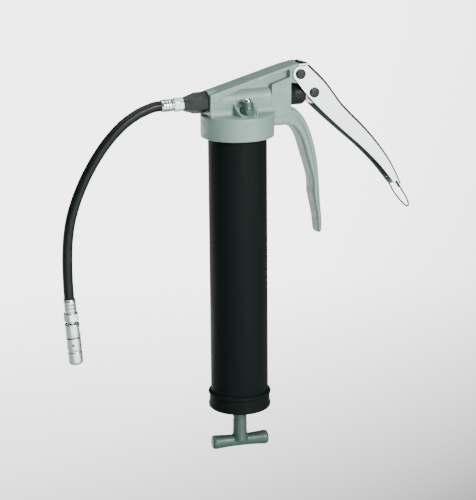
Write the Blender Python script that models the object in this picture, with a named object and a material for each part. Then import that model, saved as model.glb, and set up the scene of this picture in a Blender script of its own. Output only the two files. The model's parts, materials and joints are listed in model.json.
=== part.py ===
"""Pistol-grip lever grease gun with a cartridge barrel, a cast head, a channel lever and a flexible hose.

The barrel's axis is Z, with the origin at the middle of the barrel. The pump lies along X, with the nose and
the hose at -X and the grip and the lever at +X. Sizes below are in millimetres and are turned into metres
when a mesh is made.
"""

import math

import bmesh
import bpy
from mathutils import Matrix, Vector

MM = 0.001
GAP = 0.3  # between pieces that touch
HEX = "hexagon"
MERGE = 0.0005

# Barrel, cap and collar
BARREL_R = 28.5
BARREL_WALL = 1.5
BARREL_TOP = 142.0
BARREL_BOTTOM = -146.7
CAP_TOP = -129.7
CAP_BOTTOM = -148.3
CAP_SKIN_R = 29.9
CAP_BEAD_R = 31.2
CAP_BULGE_R = 30.9
COLLAR_R = 35.65
COLLAR_BOTTOM = 128.0
COLLAR_TOP = 150.3
COLLAR_CEILING = 144.6
THROAT_R = 9.0
PRESSED_SHEET = 1.3  # sheet of the end cap

# Follower and rod
ROD_R = 4.0
ROD_TOP = 121.5
PLATE_BOTTOM = 109.0
PLATE_THICK = 2.0
CUP_LIP_TOP = 121.0
SPRING_R = 22.0
SPRING_WIRE = 1.0
SPRING_TURNS = 12
HANDLE_Z = -185.3
HANDLE_LENGTH = 58.0
HANDLE_NECK_R = 7.0
HANDLE_END_R = 7.1
HANDLE_WAIST_R = 6.0
HANDLE_TURN = math.radians(-9.0)
HANDLE_PIN_Z = -161.0

# Pump
PUMP_Z = 163.5
NOSE_X = -33.0
REAR_X = 52.3
PUMP_HALF = 11.5
HEAD_HALF = 12.0
TIP_HALF = 11.4
PLUNGER_R = 5.0
PLUNGER_FRONT = -6.0
BALL_X = 8.4  # the check ball's centre, in from the nose
PACKING_START = 36.3
NUT_LENGTH = 24.2  # from the nose to the ferrule
NUT_HEX = 12.4  # where the nut's hexagon starts to taper
NUT_R = 10.39
BOOT_R = 11.0
BOOT_END = 69.7

# Lever
PIVOT = (61.6, 184.6)
DRIVE = (76.5, 165.3)
PIN_R = 3.0
PIN_HEAD_R = 5.0
PIN_HEAD_THICK = 2.3
SHEET = 1.5
LEVER_HALF = 13.2
LEVER_TIP_HALF = 10.2
TAPER_START = 80.0
TAPER_END = 176.0
RING_HOLE = (171.2, 66.0)
RING_END = (189.3, 37.0)
RING_WIRE = 0.8

# Bleed valve
BLEED_X = 1.0
BLEED_Y = -21.0
BLEED_LIP = 10.5
BLEED_SEAT = 152.6
BLEED_SLOPE = 0.6  # fall of the boss's face for each millimetre outwards
BLEED_FACE_TOP = 161.7

# Hose end: where the coupler's ferrule starts, and how far its axis leans from straight down
HOSE_R = 4.9
STRAIGHT = 3.0  # length of hose that leaves each ferrule straight
HOSE_START = (-80.0, 163.5)
HOSE_END = (-176.6, -12.0)
COUPLER_LEAN = math.radians(4.2)

# The hose's route in the XZ plane, from the gun to the coupler
HOSE_ROUTE = [
    HOSE_START,
    (-84.8, 163.3),
    (-89.8, 162.3),
    (-101.9, 158.2),
    (-114.9, 151.0),
    (-126.0, 142.0),
    (-136.2, 131.5),
    (-145.2, 120.0),
    (-153.4, 107.5),
    (-160.3, 94.9),
    (-165.8, 83.0),
    (-169.9, 71.9),
    (-173.3, 59.9),
    (-175.8, 44.7),
    (-177.0, 29.3),
    (-177.3, 15.7),
    (-177.2, 1.9),
    HOSE_END,
]

PAINT = ("grey_paint", (0.46, 0.52, 0.50), 0.42, 0.55)
BLACK_STEEL = ("black_paint", (0.012, 0.018, 0.017), 0.38, 0.1)
BLACK_OXIDE = ("black_oxide", (0.02, 0.028, 0.028), 0.4, 0.5)
CHROME = ("chrome", (0.83, 0.85, 0.84), 0.12, 1.0)
ZINC = ("zinc", (0.72, 0.76, 0.75), 0.28, 1.0)
STEEL = ("steel", (0.5, 0.5, 0.5), 0.35, 1.0)
RUBBER = ("rubber", (0.015, 0.016, 0.016), 0.6, 0.0)
HANDLE_PAINT = ("handle_paint", (0.20, 0.28, 0.25), 0.5, 0.4)
PIN_STEEL = ("pin_steel", (0.09, 0.11, 0.10), 0.42, 0.7)


def clear_scene():
    """Empty the scene."""
    for item in list(bpy.data.objects):
        bpy.data.objects.remove(item)


def material(look):
    """The Principled material of a look (name, colour, roughness, metallic)."""
    name, colour, roughness, metallic = look
    found = bpy.data.materials.get(name)
    if found:
        return found
    made = bpy.data.materials.new(name)
    made.use_nodes = True
    shader = made.node_tree.nodes["Principled BSDF"]
    shader.inputs["Base Color"].default_value = (*colour, 1.0)
    shader.inputs["Roughness"].default_value = roughness
    shader.inputs["Metallic"].default_value = metallic
    made.diffuse_color = (*colour, 1.0)
    return made


def finish(name, bm, look, place=None):
    """Turn a bmesh into an object, moved by an optional matrix. Everything stays in millimetres for now."""
    if place is not None:
        bmesh.ops.transform(bm, matrix=place, verts=bm.verts)
    bmesh.ops.recalc_face_normals(bm, faces=bm.faces)
    mesh = bpy.data.meshes.new(name)
    bm.to_mesh(mesh)
    bm.free()
    mesh.materials.append(material(look))
    item = bpy.data.objects.new(name, mesh)
    bpy.context.scene.collection.objects.link(item)
    return item


def set_origin(item, x, y, z):
    """Move an object's origin to a point, leaving its mesh where it is."""
    point = Vector((x, y, z))
    item.data.transform(Matrix.Translation(-point))
    item.location = point


def to_metres():
    """Bring every piece from millimetres to metres, and shade round surfaces smooth."""
    for item in bpy.data.objects:
        item.data.transform(Matrix.Scale(MM, 4))
        item.location = item.location * MM
        if item.type == "MESH":
            item.data.shade_smooth()
            item.data.set_sharp_from_angle(angle=math.radians(35))


def combine(item, tools, operation):
    """Union the tools with the item, or cut them from it, one by one."""
    for tool in tools:
        step = item.modifiers.new("step", "BOOLEAN")
        step.operation = operation
        step.solver = "EXACT"
        step.object = tool
        bpy.context.view_layer.update()
        graph = bpy.context.evaluated_depsgraph_get()
        result = bpy.data.meshes.new_from_object(item.evaluated_get(graph))
        item.modifiers.clear()
        weld(result)
        old = item.data
        item.data = result
        bpy.data.meshes.remove(old)
        bpy.data.objects.remove(tool)
    return item


def weld(mesh):
    """Merge the coincident points a Boolean can leave."""
    bm = bmesh.new()
    bm.from_mesh(mesh)
    bmesh.ops.remove_doubles(bm, verts=bm.verts, dist=MERGE)
    bmesh.ops.dissolve_degenerate(bm, dist=MERGE, edges=bm.edges)
    bm.to_mesh(mesh)
    bm.free()


def join(item, *tools):
    """Union."""
    return combine(item, tools, "UNION")


def cut(item, *tools):
    """Difference."""
    return combine(item, tools, "DIFFERENCE")


def along_x(x=0.0, y=0.0, z=PUMP_Z):
    """Matrix that lays a shape turned about Z along +X, with its axis through (y, z)."""
    return Matrix.Translation((x, y, z)) @ Matrix.Rotation(math.radians(90), 4, "Y")


def along_y(x, z):
    """Matrix that lays a shape turned about Z along +Y, with its axis through (x, z)."""
    return Matrix.Translation((x, 0, z)) @ Matrix.Rotation(math.radians(-90), 4, "X")


def coupler_frame():
    """Matrix from distances down the coupler's axis (as +Z) to the gun's frame."""
    start = Matrix.Translation((HOSE_END[0], 0, HOSE_END[1]))
    return start @ Matrix.Rotation(math.pi - COUPLER_LEAN, 4, "Y")


def turned(profile, sides, hollow=False):
    """A solid turned about Z from (radius, height) points; a hollow one closes its profile on itself.
    A point with a third value, HEX, makes its ring a hexagon whose corners are at that radius."""
    bm = bmesh.new()
    rings = []
    for radius, height, *shape in profile:
        if radius == 0:
            rings.append([bm.verts.new((0, 0, height))])
            continue
        ring = []
        for k in range(sides):
            a = 2 * math.pi * k / sides
            reach = radius * hexagon(a) if shape else radius
            ring.append(bm.verts.new((reach * math.cos(a), reach * math.sin(a), height)))
        rings.append(ring)
    pairs = list(zip(rings, rings[1:]))
    if hollow:
        pairs.append((rings[-1], rings[0]))
    for low, high in pairs:
        for k in range(sides):
            after = (k + 1) % sides
            face = [low[k % len(low)], low[after % len(low)], high[after % len(high)], high[k % len(high)]]
            bm.faces.new(list(dict.fromkeys(face)))
    return bm


def hexagon(a):
    """Reach of a hexagon at an angle, as a share of its corners' radius."""
    sixth = math.pi / 3
    return math.cos(sixth / 2) / math.cos(a % sixth - sixth / 2)


def rod_shape(radius, low, high, sides=20, chamfer=0.0):
    """A round bar along Z, with optional chamfered ends."""
    if chamfer == 0:
        return turned([(0, low), (radius, low), (radius, high), (0, high)], sides)
    small = radius - chamfer
    profile = [(0, low), (small, low), (radius, low + chamfer)]
    profile += [(radius, high - chamfer), (small, high), (0, high)]
    return turned(profile, sides)


def tube_shape(inner, outer, low, high, sides=24):
    """A plain tube along Z."""
    return turned([(inner, low), (outer, low), (outer, high), (inner, high)], sides, hollow=True)


def slab(outline, low, high, axis="Y"):
    """A polygon extruded along an axis. An outline for Y holds (x, z), for X (y, z), for Z (x, y)."""
    places = {
        "Y": lambda p, d: (p[0], d, p[1]),
        "X": lambda p, d: (d, p[0], p[1]),
        "Z": lambda p, d: (p[0], p[1], d),
    }
    bm = bmesh.new()
    first = [bm.verts.new(places[axis](p, low)) for p in outline]
    second = [bm.verts.new(places[axis](p, high)) for p in outline]
    bm.faces.new(first)
    bm.faces.new(second[::-1])
    for k in range(len(outline)):
        after = (k + 1) % len(outline)
        bm.faces.new([first[k], second[k], second[after], first[after]])
    return bm


def box_shape(low, high):
    """A box between two corners."""
    (x0, y0, z0), (x1, y1, z1) = low, high
    return slab([(x0, z0), (x1, z0), (x1, z1), (x0, z1)], y0, y1)


def loft(sections):
    """A closed solid through rings of points that all have the same count."""
    bm = bmesh.new()
    rings = [[bm.verts.new(p) for p in section] for section in sections]
    for low, high in zip(rings, rings[1:]):
        count = len(low)
        for k in range(count):
            after = (k + 1) % count
            bm.faces.new([low[k], low[after], high[after], high[k]])
    bm.faces.new(rings[0][::-1])
    bm.faces.new(rings[-1])
    return bm


def wire(points, radius, sides):
    """A round wire through points, with flat ends, whose section keeps its own plane at each point."""
    points = [Vector(p) for p in points]
    sections = []
    side = None
    for k, point in enumerate(points):
        ahead = points[min(k + 1, len(points) - 1)]
        behind = points[max(k - 1, 0)]
        direction = (ahead - behind).normalized()
        if side is None:
            guess = Vector((0, 0, 1)) if abs(direction.z) < 0.9 else Vector((1, 0, 0))
            side = direction.cross(guess).normalized()
        side = (side - direction * side.dot(direction)).normalized()
        other = direction.cross(side)
        ring = []
        for j in range(sides):
            a = 2 * math.pi * j / sides
            ring.append(point + radius * (side * math.cos(a) + other * math.sin(a)))
        sections.append(ring)
    return loft(sections)


def helix(radius, low, high, turns, per_turn, end_turns, pitch):
    """Points of a compression spring about Z, with close end turns."""
    total = turns * per_turn
    points = []
    for k in range(total + 1):
        turn = k / per_turn
        lead = min(turn, end_turns)
        tail = max(0.0, turn - (turns - end_turns))
        middle = (turn - lead - tail) / (turns - 2 * end_turns)
        rise = pitch * (lead + tail) + middle * (high - low - 2 * pitch * end_turns)
        a = 2 * math.pi * turn
        points.append((radius * math.cos(a), radius * math.sin(a), low + rise))
    return points


def arc(centre, radius, start, end, count):
    """Points on an arc, angles in degrees, both ends included."""
    points = []
    for k in range(count + 1):
        a = math.radians(start + (end - start) * k / count)
        points.append((centre[0] + radius * math.cos(a), centre[1] + radius * math.sin(a)))
    return points


def smooth_route(points, spacing):
    """Points read every `spacing` from a Catmull-Rom curve through a route in the XZ plane."""
    route = [Vector((x, 0, z)) for x, z in points]
    padded = [2 * route[0] - route[1]] + route + [2 * route[-1] - route[-2]]
    fine = []
    steps = 24
    for a, b, c, d in zip(padded, padded[1:], padded[2:], padded[3:]):
        for k in range(steps):
            t = k / steps
            fine.append(
                0.5 * (2 * b + (c - a) * t + (2 * a - 5 * b + 4 * c - d) * t**2 + (3 * b - a - 3 * c + d) * t**3)
            )
    fine.append(route[-1])
    lengths = [0.0]
    for a, b in zip(fine, fine[1:]):
        lengths.append(lengths[-1] + (b - a).length)
    count = round(lengths[-1] / spacing)
    found = []
    at = 0
    for k in range(count + 1):
        want = lengths[-1] * k / count
        while at < len(lengths) - 2 and lengths[at + 1] < want:
            at += 1
        part = (want - lengths[at]) / (lengths[at + 1] - lengths[at])
        found.append(fine[at].lerp(fine[at + 1], part))
    return found


# ---------------------------------------------------------------- barrel


def build_barrel_tube():
    """Steel tube that holds the grease cartridge."""
    bm = tube_shape(BARREL_R - BARREL_WALL, BARREL_R, BARREL_BOTTOM, BARREL_TOP, 48)
    return finish("barrel_tube", bm, BLACK_STEEL)


def build_end_cap():
    """Pressed cap over the barrel's bottom, with a rolled bead at its mouth and a guide hole for the rod."""
    inner = BARREL_R + GAP
    bead = arc((CAP_BEAD_R - 2.4, CAP_TOP - 2.9), 2.4, 70, -70, 4)
    corner = arc((CAP_BULGE_R - 2.8, CAP_BOTTOM + 2.8), 2.8, 0, -90, 3)
    profile = [(inner, CAP_TOP)] + bead
    profile += [(CAP_SKIN_R, CAP_TOP - 8.6), (CAP_SKIN_R, CAP_TOP - 12.2), (CAP_BULGE_R, CAP_TOP - 14.2)]
    profile += corner
    profile += [(ROD_R + 0.6, CAP_BOTTOM), (ROD_R + 0.6, CAP_BOTTOM + PRESSED_SHEET), (inner, CAP_BOTTOM + PRESSED_SHEET)]
    return finish("end_cap", turned(profile, 40, hollow=True), BLACK_STEEL)


def build_barrel_gasket():
    """Flat rubber gasket between the barrel's rim and the head."""
    bm = tube_shape(24.5, BARREL_R - GAP, BARREL_TOP + GAP, COLLAR_CEILING - GAP, 32)
    return finish("barrel_gasket", bm, RUBBER)


def build_follower():
    """Rubber cup and its steel backing plate."""
    floor = PLATE_BOTTOM + PLATE_THICK + GAP
    wall = BARREL_R - BARREL_WALL - GAP
    bm = tube_shape(ROD_R + GAP, 24.5, PLATE_BOTTOM, PLATE_BOTTOM + PLATE_THICK, 32)
    finish("follower_plate", bm, STEEL)
    profile = [(ROD_R + GAP, floor), (wall - 2.0, floor), (wall, floor + 2.0), (wall, CUP_LIP_TOP)]
    profile += [(wall - 1.6, CUP_LIP_TOP), (wall - 4.0, floor + 3.0), (ROD_R + GAP, floor + 3.0)]
    finish("follower_cup", turned(profile, 32, hollow=True), RUBBER)


def build_follower_spring():
    """Long compression spring that pushes the follower up the barrel."""
    low = CAP_BOTTOM + PRESSED_SHEET + GAP + SPRING_WIRE
    high = PLATE_BOTTOM - GAP - SPRING_WIRE
    points = helix(SPRING_R, low, high, SPRING_TURNS, 8, 1.0, 2.6)
    return finish("follower_spring", wire(points, SPRING_WIRE, 5), STEEL)


def build_rod():
    """Rod, its nut above the cup, the T handle and the roll pin through the handle's neck."""
    bottom = HANDLE_Z + 6.0
    rod = finish("follower_rod", rod_shape(ROD_R, bottom, ROD_TOP, 20, 0.5), ZINC)
    hole = finish("hole", rod_shape(1.8, -9, 9, 12), ZINC, handle_pin_frame())
    cut(rod, hole)
    floor = PLATE_BOTTOM + PLATE_THICK + GAP + 3.0 + GAP
    bore = ROD_R + GAP
    nut = [(bore, floor), (7.5, floor, HEX), (7.5, floor + 5.0, HEX), (bore, floor + 5.0)]
    finish("rod_nut", turned(nut, 24, hollow=True), ZINC)
    pin = rod_shape(1.5, -HANDLE_NECK_R + 0.2, HANDLE_NECK_R - 0.2, 12)
    finish("t_handle_pin", pin, ZINC, handle_pin_frame())
    build_t_handle()


def handle_pin_frame():
    """Matrix that lays the roll pin across the neck, in line with the handle's bar."""
    turn = Matrix.Rotation(HANDLE_TURN, 4, "Z") @ Matrix.Rotation(math.radians(90), 4, "Y")
    return Matrix.Translation((0, 0, HANDLE_PIN_Z)) @ turn


def build_t_handle():
    """Cast T handle: a waisted bar with rounded ends on a round neck that swells into it."""
    half = HANDLE_LENGTH / 2
    ends = arc((HANDLE_END_R - 2.0, half - 2.0), 2.0, 0, 90, 3)
    side = [(HANDLE_WAIST_R, 0.0), (HANDLE_WAIST_R, 9.0), (HANDLE_WAIST_R + 0.3, 15.0)]
    side += [(HANDLE_END_R - 0.3, 22.0)] + ends
    profile = [(0, -half)] + [(r, -z) for r, z in side[::-1]] + side[1:] + [(0, half)]
    turn = Matrix.Translation((0, 0, HANDLE_Z)) @ Matrix.Rotation(HANDLE_TURN, 4, "Z")
    bar = finish("t_handle", turned(profile, 16), HANDLE_PAINT, turn @ Matrix.Rotation(math.radians(90), 4, "Y"))
    top = CAP_BOTTOM - GAP
    neck_profile = [(0, HANDLE_Z), (HANDLE_NECK_R + 2.4, HANDLE_Z + 1.0), (HANDLE_NECK_R + 1.2, HANDLE_Z + 5.4)]
    neck_profile += [(HANDLE_NECK_R + 0.2, HANDLE_Z + 8.4), (HANDLE_NECK_R, HANDLE_Z + 12.0)]
    neck_profile += [(HANDLE_NECK_R, top - 0.6), (HANDLE_NECK_R - 0.6, top), (0, top)]
    join(bar, finish("neck", turned(neck_profile, 18), HANDLE_PAINT))
    cut(bar, finish("bore", rod_shape(ROD_R + GAP, HANDLE_Z + 5.0, top + 1, 20), HANDLE_PAINT))
    cut(bar, finish("hole", rod_shape(1.8, -9, 9, 12), HANDLE_PAINT, handle_pin_frame()))
    return bar


# ---------------------------------------------------------------- head casting


def pump_body_shape():
    """Body round the pump: a half-round top, upright flanks and a foot that flares onto the collar."""
    top = arc((0, PUMP_Z), PUMP_HALF, 0, 180, 14)
    flank = [(PUMP_HALF, PUMP_Z - 8.5), (PUMP_HALF + 1.2, COLLAR_TOP + 2.2), (PUMP_HALF + 2.1, COLLAR_TOP - 0.4)]
    foot = [(PUMP_HALF + 2.1, COLLAR_TOP - 2.0)]
    right = flank + foot
    left = [(-y, z) for y, z in right]
    return slab(top + left + right[::-1], NOSE_X, REAR_X - 18.0, "X")


def build_head_casting():
    """Collar, pump body, arm and grip in one casting, with its bores."""
    collar = [(0, COLLAR_BOTTOM), (COLLAR_R - 0.8, COLLAR_BOTTOM), (COLLAR_R, COLLAR_BOTTOM + 0.8)]
    collar += [(COLLAR_R, COLLAR_TOP - 1.6), (COLLAR_R - 0.5, COLLAR_TOP - 0.5), (COLLAR_R - 1.6, COLLAR_TOP)]
    collar += [(0, COLLAR_TOP)]
    head = finish("head_casting", turned(collar, 56), PAINT)
    join(head, finish("pump_body", pump_body_shape(), PAINT))
    join(head, finish("flange", slab(flange_outline(), -HEAD_HALF, HEAD_HALF), PAINT))
    join(head, finish("web", slab(web_outline(), -5.2, 5.2), PAINT))
    join(head, finish("rear", slab(rear_outline(), -HEAD_HALF, HEAD_HALF), PAINT))
    join(head, finish("tip", slab(tip_outline(), -TIP_HALF, TIP_HALF), PAINT))
    join(head, bleed_boss())
    join(head, finish("grip", loft(grip_sections()), PAINT))
    cut(head, *head_bores())
    return head


def flange_outline():
    """Side outline of the top flange, thicker at the nose."""
    top = [(NOSE_X, 164.5), (NOSE_X, 171.6), (48.0, 192.2), (53.2, 193.3)]
    return top + [(53.2, 189.9), (47.6, 189.2), (-17.7, 169.7), (-25.0, 164.5)]


def web_outline():
    """Side outline of the thin web between the flange and the pump body, the floor of both pockets."""
    return [(-20.0, 168.0), (10.0, 180.0), (52.0, 191.5), (52.0, 172.0), (-20.0, 164.0)]


def rear_outline():
    """Side outline of the rear block, its lower chord and the strip that closes the pocket."""
    return [
        (31.5, COLLAR_TOP - 3.0),
        (31.5, 176.4),
        (50.8, 182.2),
        (50.8, 192.0),
        (53.2, 192.6),
        (53.2, 177.4),
        (REAR_X, 176.4),
        (REAR_X, COLLAR_TOP - 3.0),
    ]


def tip_outline():
    """Side outline of the arm's tip, narrower so that the lever's plates straddle it."""
    tip = arc(PIVOT, 9.6, 84, -96, 12)
    return [(51.5, 192.9), (56.0, 194.0)] + tip + [(53.0, 176.6), (51.5, 176.9)]


def bleed_boss():
    """Boss on the near flank with a sloping face and a raised U-shaped lip, for the bleed valve."""
    flank = -PUMP_HALF
    far = BLEED_Y - 2 * BLEED_LIP
    low = COLLAR_TOP - 2.0
    top = BLEED_FACE_TOP
    bottom = top - (flank - far) * BLEED_SLOPE
    boss = finish("boss", slab(u_outline(BLEED_LIP), low, top, "Z"), PAINT)
    above = [(flank, top), (far, bottom), (far, top + 9), (flank, top + 9)]
    cut(boss, finish("slope", slab(above, BLEED_X - 14, BLEED_X + 14, "X"), PAINT))
    recess = finish("recess", slab(u_outline(BLEED_LIP - 1.6), low, top + 4, "Z"), PAINT)
    inner_top = top + 9 * BLEED_SLOPE - 1.5
    below = [(flank + 9, inner_top), (far, bottom - 1.5), (far, 130), (flank + 9, 130)]
    cut(recess, finish("below", slab(below, BLEED_X - 14, BLEED_X + 14, "X"), PAINT))
    cut(boss, recess)
    seat = rod_shape(7.4, BLEED_SEAT, 175, 24)
    return cut(boss, finish("seat", seat, PAINT, Matrix.Translation((BLEED_X, BLEED_Y, 0))))


def u_outline(radius):
    """Plan outline of the bleed boss: straight from the flank, then half round."""
    round_end = arc((BLEED_X, BLEED_Y), radius, 0, -180, 12)
    return [(BLEED_X + radius, -PUMP_HALF + 2)] + round_end + [(BLEED_X - radius, -PUMP_HALF + 2)]


# Grip stations: inner edge, outer edge (both x, z), half width of the finger plate, half width of the rib
GRIP_STATIONS = [
    ((30.0, 135.4), (31.0, 153.0), 11.9, 11.9),
    ((40.0, 135.2), (42.0, 153.2), 11.85, 11.8),
    ((48.0, 134.8), (51.5, 152.8), 11.6, 11.0),
    ((54.0, 133.0), (59.5, 150.0), 11.3, 10.0),
    ((59.6, 128.6), (68.2, 141.0), 11.2, 8.8),
    ((64.2, 121.2), (75.0, 129.0), 11.0, 7.2),
    ((67.6, 111.8), (80.2, 115.4), 10.8, 6.0),
    ((70.0, 103.5), (83.0, 104.8), 10.6, 5.6),
    ((74.0, 91.0), (85.2, 91.8), 10.3, 5.4),
    ((77.6, 78.0), (86.4, 78.8), 10.1, 5.4),
    ((78.3, 70.0), (87.0, 70.0), 10.0, 5.4),
    ((78.5, 62.0), (87.6, 62.0), 9.8, 5.3),
    ((80.9, 51.0), (88.4, 51.0), 9.3, 5.1),
    ((83.4, 38.0), (89.6, 38.0), 8.6, 5.2),
    ((84.4, 27.0), (90.0, 27.0), 8.0, 5.0),
    ((85.0, 22.4), (89.6, 22.4), 6.8, 4.2),
]


def grip_sections():
    """Rings of the grip: a rounded finger plate towards the barrel with a narrower rib behind it."""
    sections = []
    for inner, outer, wide, narrow in GRIP_STATIONS:
        depth = Vector((outer[0] - inner[0], outer[1] - inner[1]))
        half = [(0.0, 0.62 * wide), (0.07, 0.88 * wide), (0.2, wide), (0.44, wide)]
        half += [(0.56, narrow + 0.4), (0.9, narrow), (1.0, 0.6 * narrow)]
        ring = [(t, y) for t, y in half] + [(t, -y) for t, y in half[::-1]]
        points = [(inner[0] + depth[0] * t, y, inner[1] + depth[1] * t) for t, y in ring]
        sections.append(points)
    return sections


def head_bores():
    """Cutters for the barrel thread, the throat, the pump bore, the outlet, the gland and the pins."""
    over = 2.0
    return [
        finish("c1", rod_shape(BARREL_R + GAP, COLLAR_BOTTOM - over, COLLAR_CEILING, 48), PAINT),
        finish("c2", rod_shape(THROAT_R, COLLAR_CEILING - 1, COLLAR_CEILING + 4.5, 24), PAINT),
        finish("c3", rod_shape(3.4, COLLAR_CEILING + 2, PUMP_Z, 16), PAINT, Matrix.Translation((-11.5, 0, 0))),
        finish("c4", rod_shape(PLUNGER_R + GAP, NOSE_X + 6, REAR_X - 8, 20), PAINT, along_x()),
        finish("c5", rod_shape(8.3, NOSE_X - over, NOSE_X + 13.7, 24), PAINT, along_x()),
        finish("c6", rod_shape(8.0, REAR_X - 16.3, REAR_X + 3, 24), PAINT, along_x()),
        finish("c7", rod_shape(PIN_R + GAP, -20, 20, 20), PAINT, along_y(*PIVOT)),
        finish("c8", rod_shape(3.8, 140, 170, 16), PAINT, Matrix.Translation((BLEED_X, BLEED_Y, 0))),
    ]


# ---------------------------------------------------------------- pump pieces


def build_outlet_nut():
    """Black hex adaptor at the nose, tapering to the hose, with the check valve's chamber inside."""
    socket = 8.4 - NUT_LENGTH
    outside = [(3.6, -NUT_LENGTH), (6.8, -NUT_LENGTH, HEX), (NUT_R, -NUT_HEX, HEX), (NUT_R, -1.4, HEX)]
    outside += [(NUT_R + 0.1, -1.4), (NUT_R + 0.1, -GAP), (8.0, -GAP), (8.0, 12.8), (7.4, 13.4)]
    inside = [(2.0, 13.4), (2.0, 11.0), (3.9, 11.0), (3.9, -7.0), (1.8, -7.0), (1.8, socket), (3.6, socket)]
    finish("outlet_nut", turned(outside + inside, 18, hollow=True), BLACK_OXIDE, along_x(NOSE_X))


def build_check_valve():
    """Ball and spring in the outlet nut."""
    bm = bmesh.new()
    bmesh.ops.create_icosphere(bm, subdivisions=2, radius=3.0)
    ball = finish("check_ball", bm, STEEL, Matrix.Translation((NOSE_X + BALL_X, 0, PUMP_Z)))
    set_origin(ball, NOSE_X + BALL_X, 0, PUMP_Z)
    points = helix(2.9, -6.3, 5.8, 5, 7, 1.0, 1.1)
    finish("check_spring", wire(points, 0.4, 5), STEEL, along_x(NOSE_X))


def build_plunger():
    """Plunger with a slotted eye for the drive pin."""
    low = PLUNGER_FRONT
    shaft = rod_shape(PLUNGER_R, low, 71.5, 20, 0.6)
    plunger = finish("plunger", shaft, STEEL, along_x())
    middle = PUMP_Z - 0.5
    eye = arc((DRIVE[0], middle + 2.6), 6.4, 0, 180, 10) + arc((DRIVE[0], middle - 2.6), 6.4, 180, 360, 10)
    join(plunger, finish("eye", slab(eye, -8.0, 8.0), STEEL))
    slot = arc((DRIVE[0], middle + 2.7), PIN_R + 0.4, 0, 180, 10)
    slot += arc((DRIVE[0], middle - 2.7), PIN_R + 0.4, 180, 360, 10)
    cut(plunger, finish("slot", slab(slot, -10, 10), STEEL))
    set_origin(plunger, DRIVE[0], 0, PUMP_Z)
    return plunger


def build_gland():
    """Packing ring, the bush that keeps it in, the return spring and the rubber boot over them."""
    bush = PACKING_START + 6.0
    finish("plunger_packing", tube_shape(PLUNGER_R + GAP, 7.7, PACKING_START, bush - GAP), RUBBER, along_x())
    finish("gland_bush", tube_shape(PLUNGER_R + GAP, 7.7, bush, REAR_X + 1.4), STEEL, along_x())
    points = helix(7.0, REAR_X + 2.5, BOOT_END - 3.4, 5, 8, 1.0, 1.5)
    finish("return_spring", wire(points, 0.6, 5), STEEL, along_x())
    start = REAR_X + GAP
    profile = [(8.2, start), (BOOT_R, start), (BOOT_R, BOOT_END - 2.6), (BOOT_R - 0.8, BOOT_END - 0.8)]
    profile += [(BOOT_R - 2.4, BOOT_END), (PLUNGER_R + GAP, BOOT_END), (PLUNGER_R + GAP, BOOT_END - 2.0)]
    profile += [(BOOT_R - 2.2, BOOT_END - 2.0), (BOOT_R - 2.2, start + 2.0), (8.2, start + 2.0)]
    finish("plunger_boot", turned(profile, 20, hollow=True), RUBBER, along_x())


def build_bleed_valve():
    """Bleed valve body with its press-in poppet and spring."""
    stand = Matrix.Translation((BLEED_X, BLEED_Y, 0))
    seat = BLEED_SEAT + GAP
    outside = [(1.0, 145.4), (3.1, 145.4), (3.5, 145.8), (3.5, seat), (7.3, seat, HEX), (7.3, seat + 3.6, HEX)]
    outside += [(6.0, seat + 3.6), (6.0, seat + 5.0), (5.3, seat + 7.6), (5.3, seat + 10.6), (4.8, seat + 11.2)]
    inside = [(4.1, seat + 11.2), (4.1, seat + 8.6), (1.9, seat + 8.6), (1.9, seat + 5.4), (3.1, seat + 5.4)]
    inside += [(3.1, 152.0), (1.0, 152.0)]
    finish("bleed_valve_body", turned(outside + inside, 18, hollow=True), PAINT, stand)
    dome = arc((0, seat + 11.3), 3.8, 0, 90, 4)
    profile = [(0, seat + 3.1), (2.6, seat + 3.1), (2.6, seat + 5.1), (1.6, seat + 5.1)]
    profile += [(1.6, seat + 10.9), (3.8, seat + 10.9)] + dome[:-1] + [(0, seat + 15.1)]
    poppet = finish("bleed_poppet", turned(profile, 16), CHROME, stand)
    set_origin(poppet, BLEED_X, BLEED_Y, seat + 11.0)
    points = helix(2.3, 152.7, seat + 2.3, 3, 8, 0.5, 0.9)
    finish("bleed_spring", wire(points, 0.3, 5), STEEL, stand)


# ---------------------------------------------------------------- lever

LEVER_TOP = [
    (70.0, 194.9),
    (76.3, 188.9),
    (83.8, 181.8),
    (91.6, 173.6),
    (99.2, 163.7),
    (107.9, 152.5),
    (119.3, 140.7),
    (131.2, 129.3),
    (142.9, 116.8),
    (154.4, 103.1),
    (164.5, 89.1),
    (172.2, 75.6),
    (177.2, 64.9),
]
LEVER_BOTTOM = [
    (172.4, 60.6),
    (164.1, 71.3),
    (154.1, 83.3),
    (142.4, 95.5),
    (129.6, 107.6),
    (116.6, 118.8),
    (104.2, 129.7),
    (92.0, 140.7),
    (81.4, 150.9),
    (72.1, 160.3),
    (64.2, 169.1),
]


def lever_half(x):
    """Half width of the channel: parallel at the pivot, narrowing to the tip."""
    share = min(max((x - TAPER_START) / (TAPER_END - TAPER_START), 0.0), 1.0)
    return LEVER_HALF + (LEVER_TIP_HALF - LEVER_HALF) * share


def taper(mesh):
    """Bring the sides of the straight channel together towards the tip, keeping the sheet's thickness."""
    bm = bmesh.new()
    bm.from_mesh(mesh)
    everything = list(bm.verts) + list(bm.edges) + list(bm.faces)
    bmesh.ops.bisect_plane(bm, geom=everything, plane_co=(TAPER_START, 0, 0), plane_no=(1, 0, 0))
    bmesh.ops.triangulate(bm, faces=bm.faces)
    for vert in bm.verts:
        inset = LEVER_HALF - abs(vert.co.y)
        vert.co.y = math.copysign(lever_half(vert.co.x) - inset, vert.co.y)
    bm.to_mesh(mesh)
    bm.free()


def offset_inwards(points, distance):
    """Shift an open line of points to its right-hand side, seen along the line."""
    moved = []
    for k, point in enumerate(points):
        ahead = Vector(points[min(k + 1, len(points) - 1)])
        behind = Vector(points[max(k - 1, 0)])
        direction = (ahead - behind).normalized()
        moved.append((point[0] + direction.y * distance, point[1] - direction.x * distance))
    return moved


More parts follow.
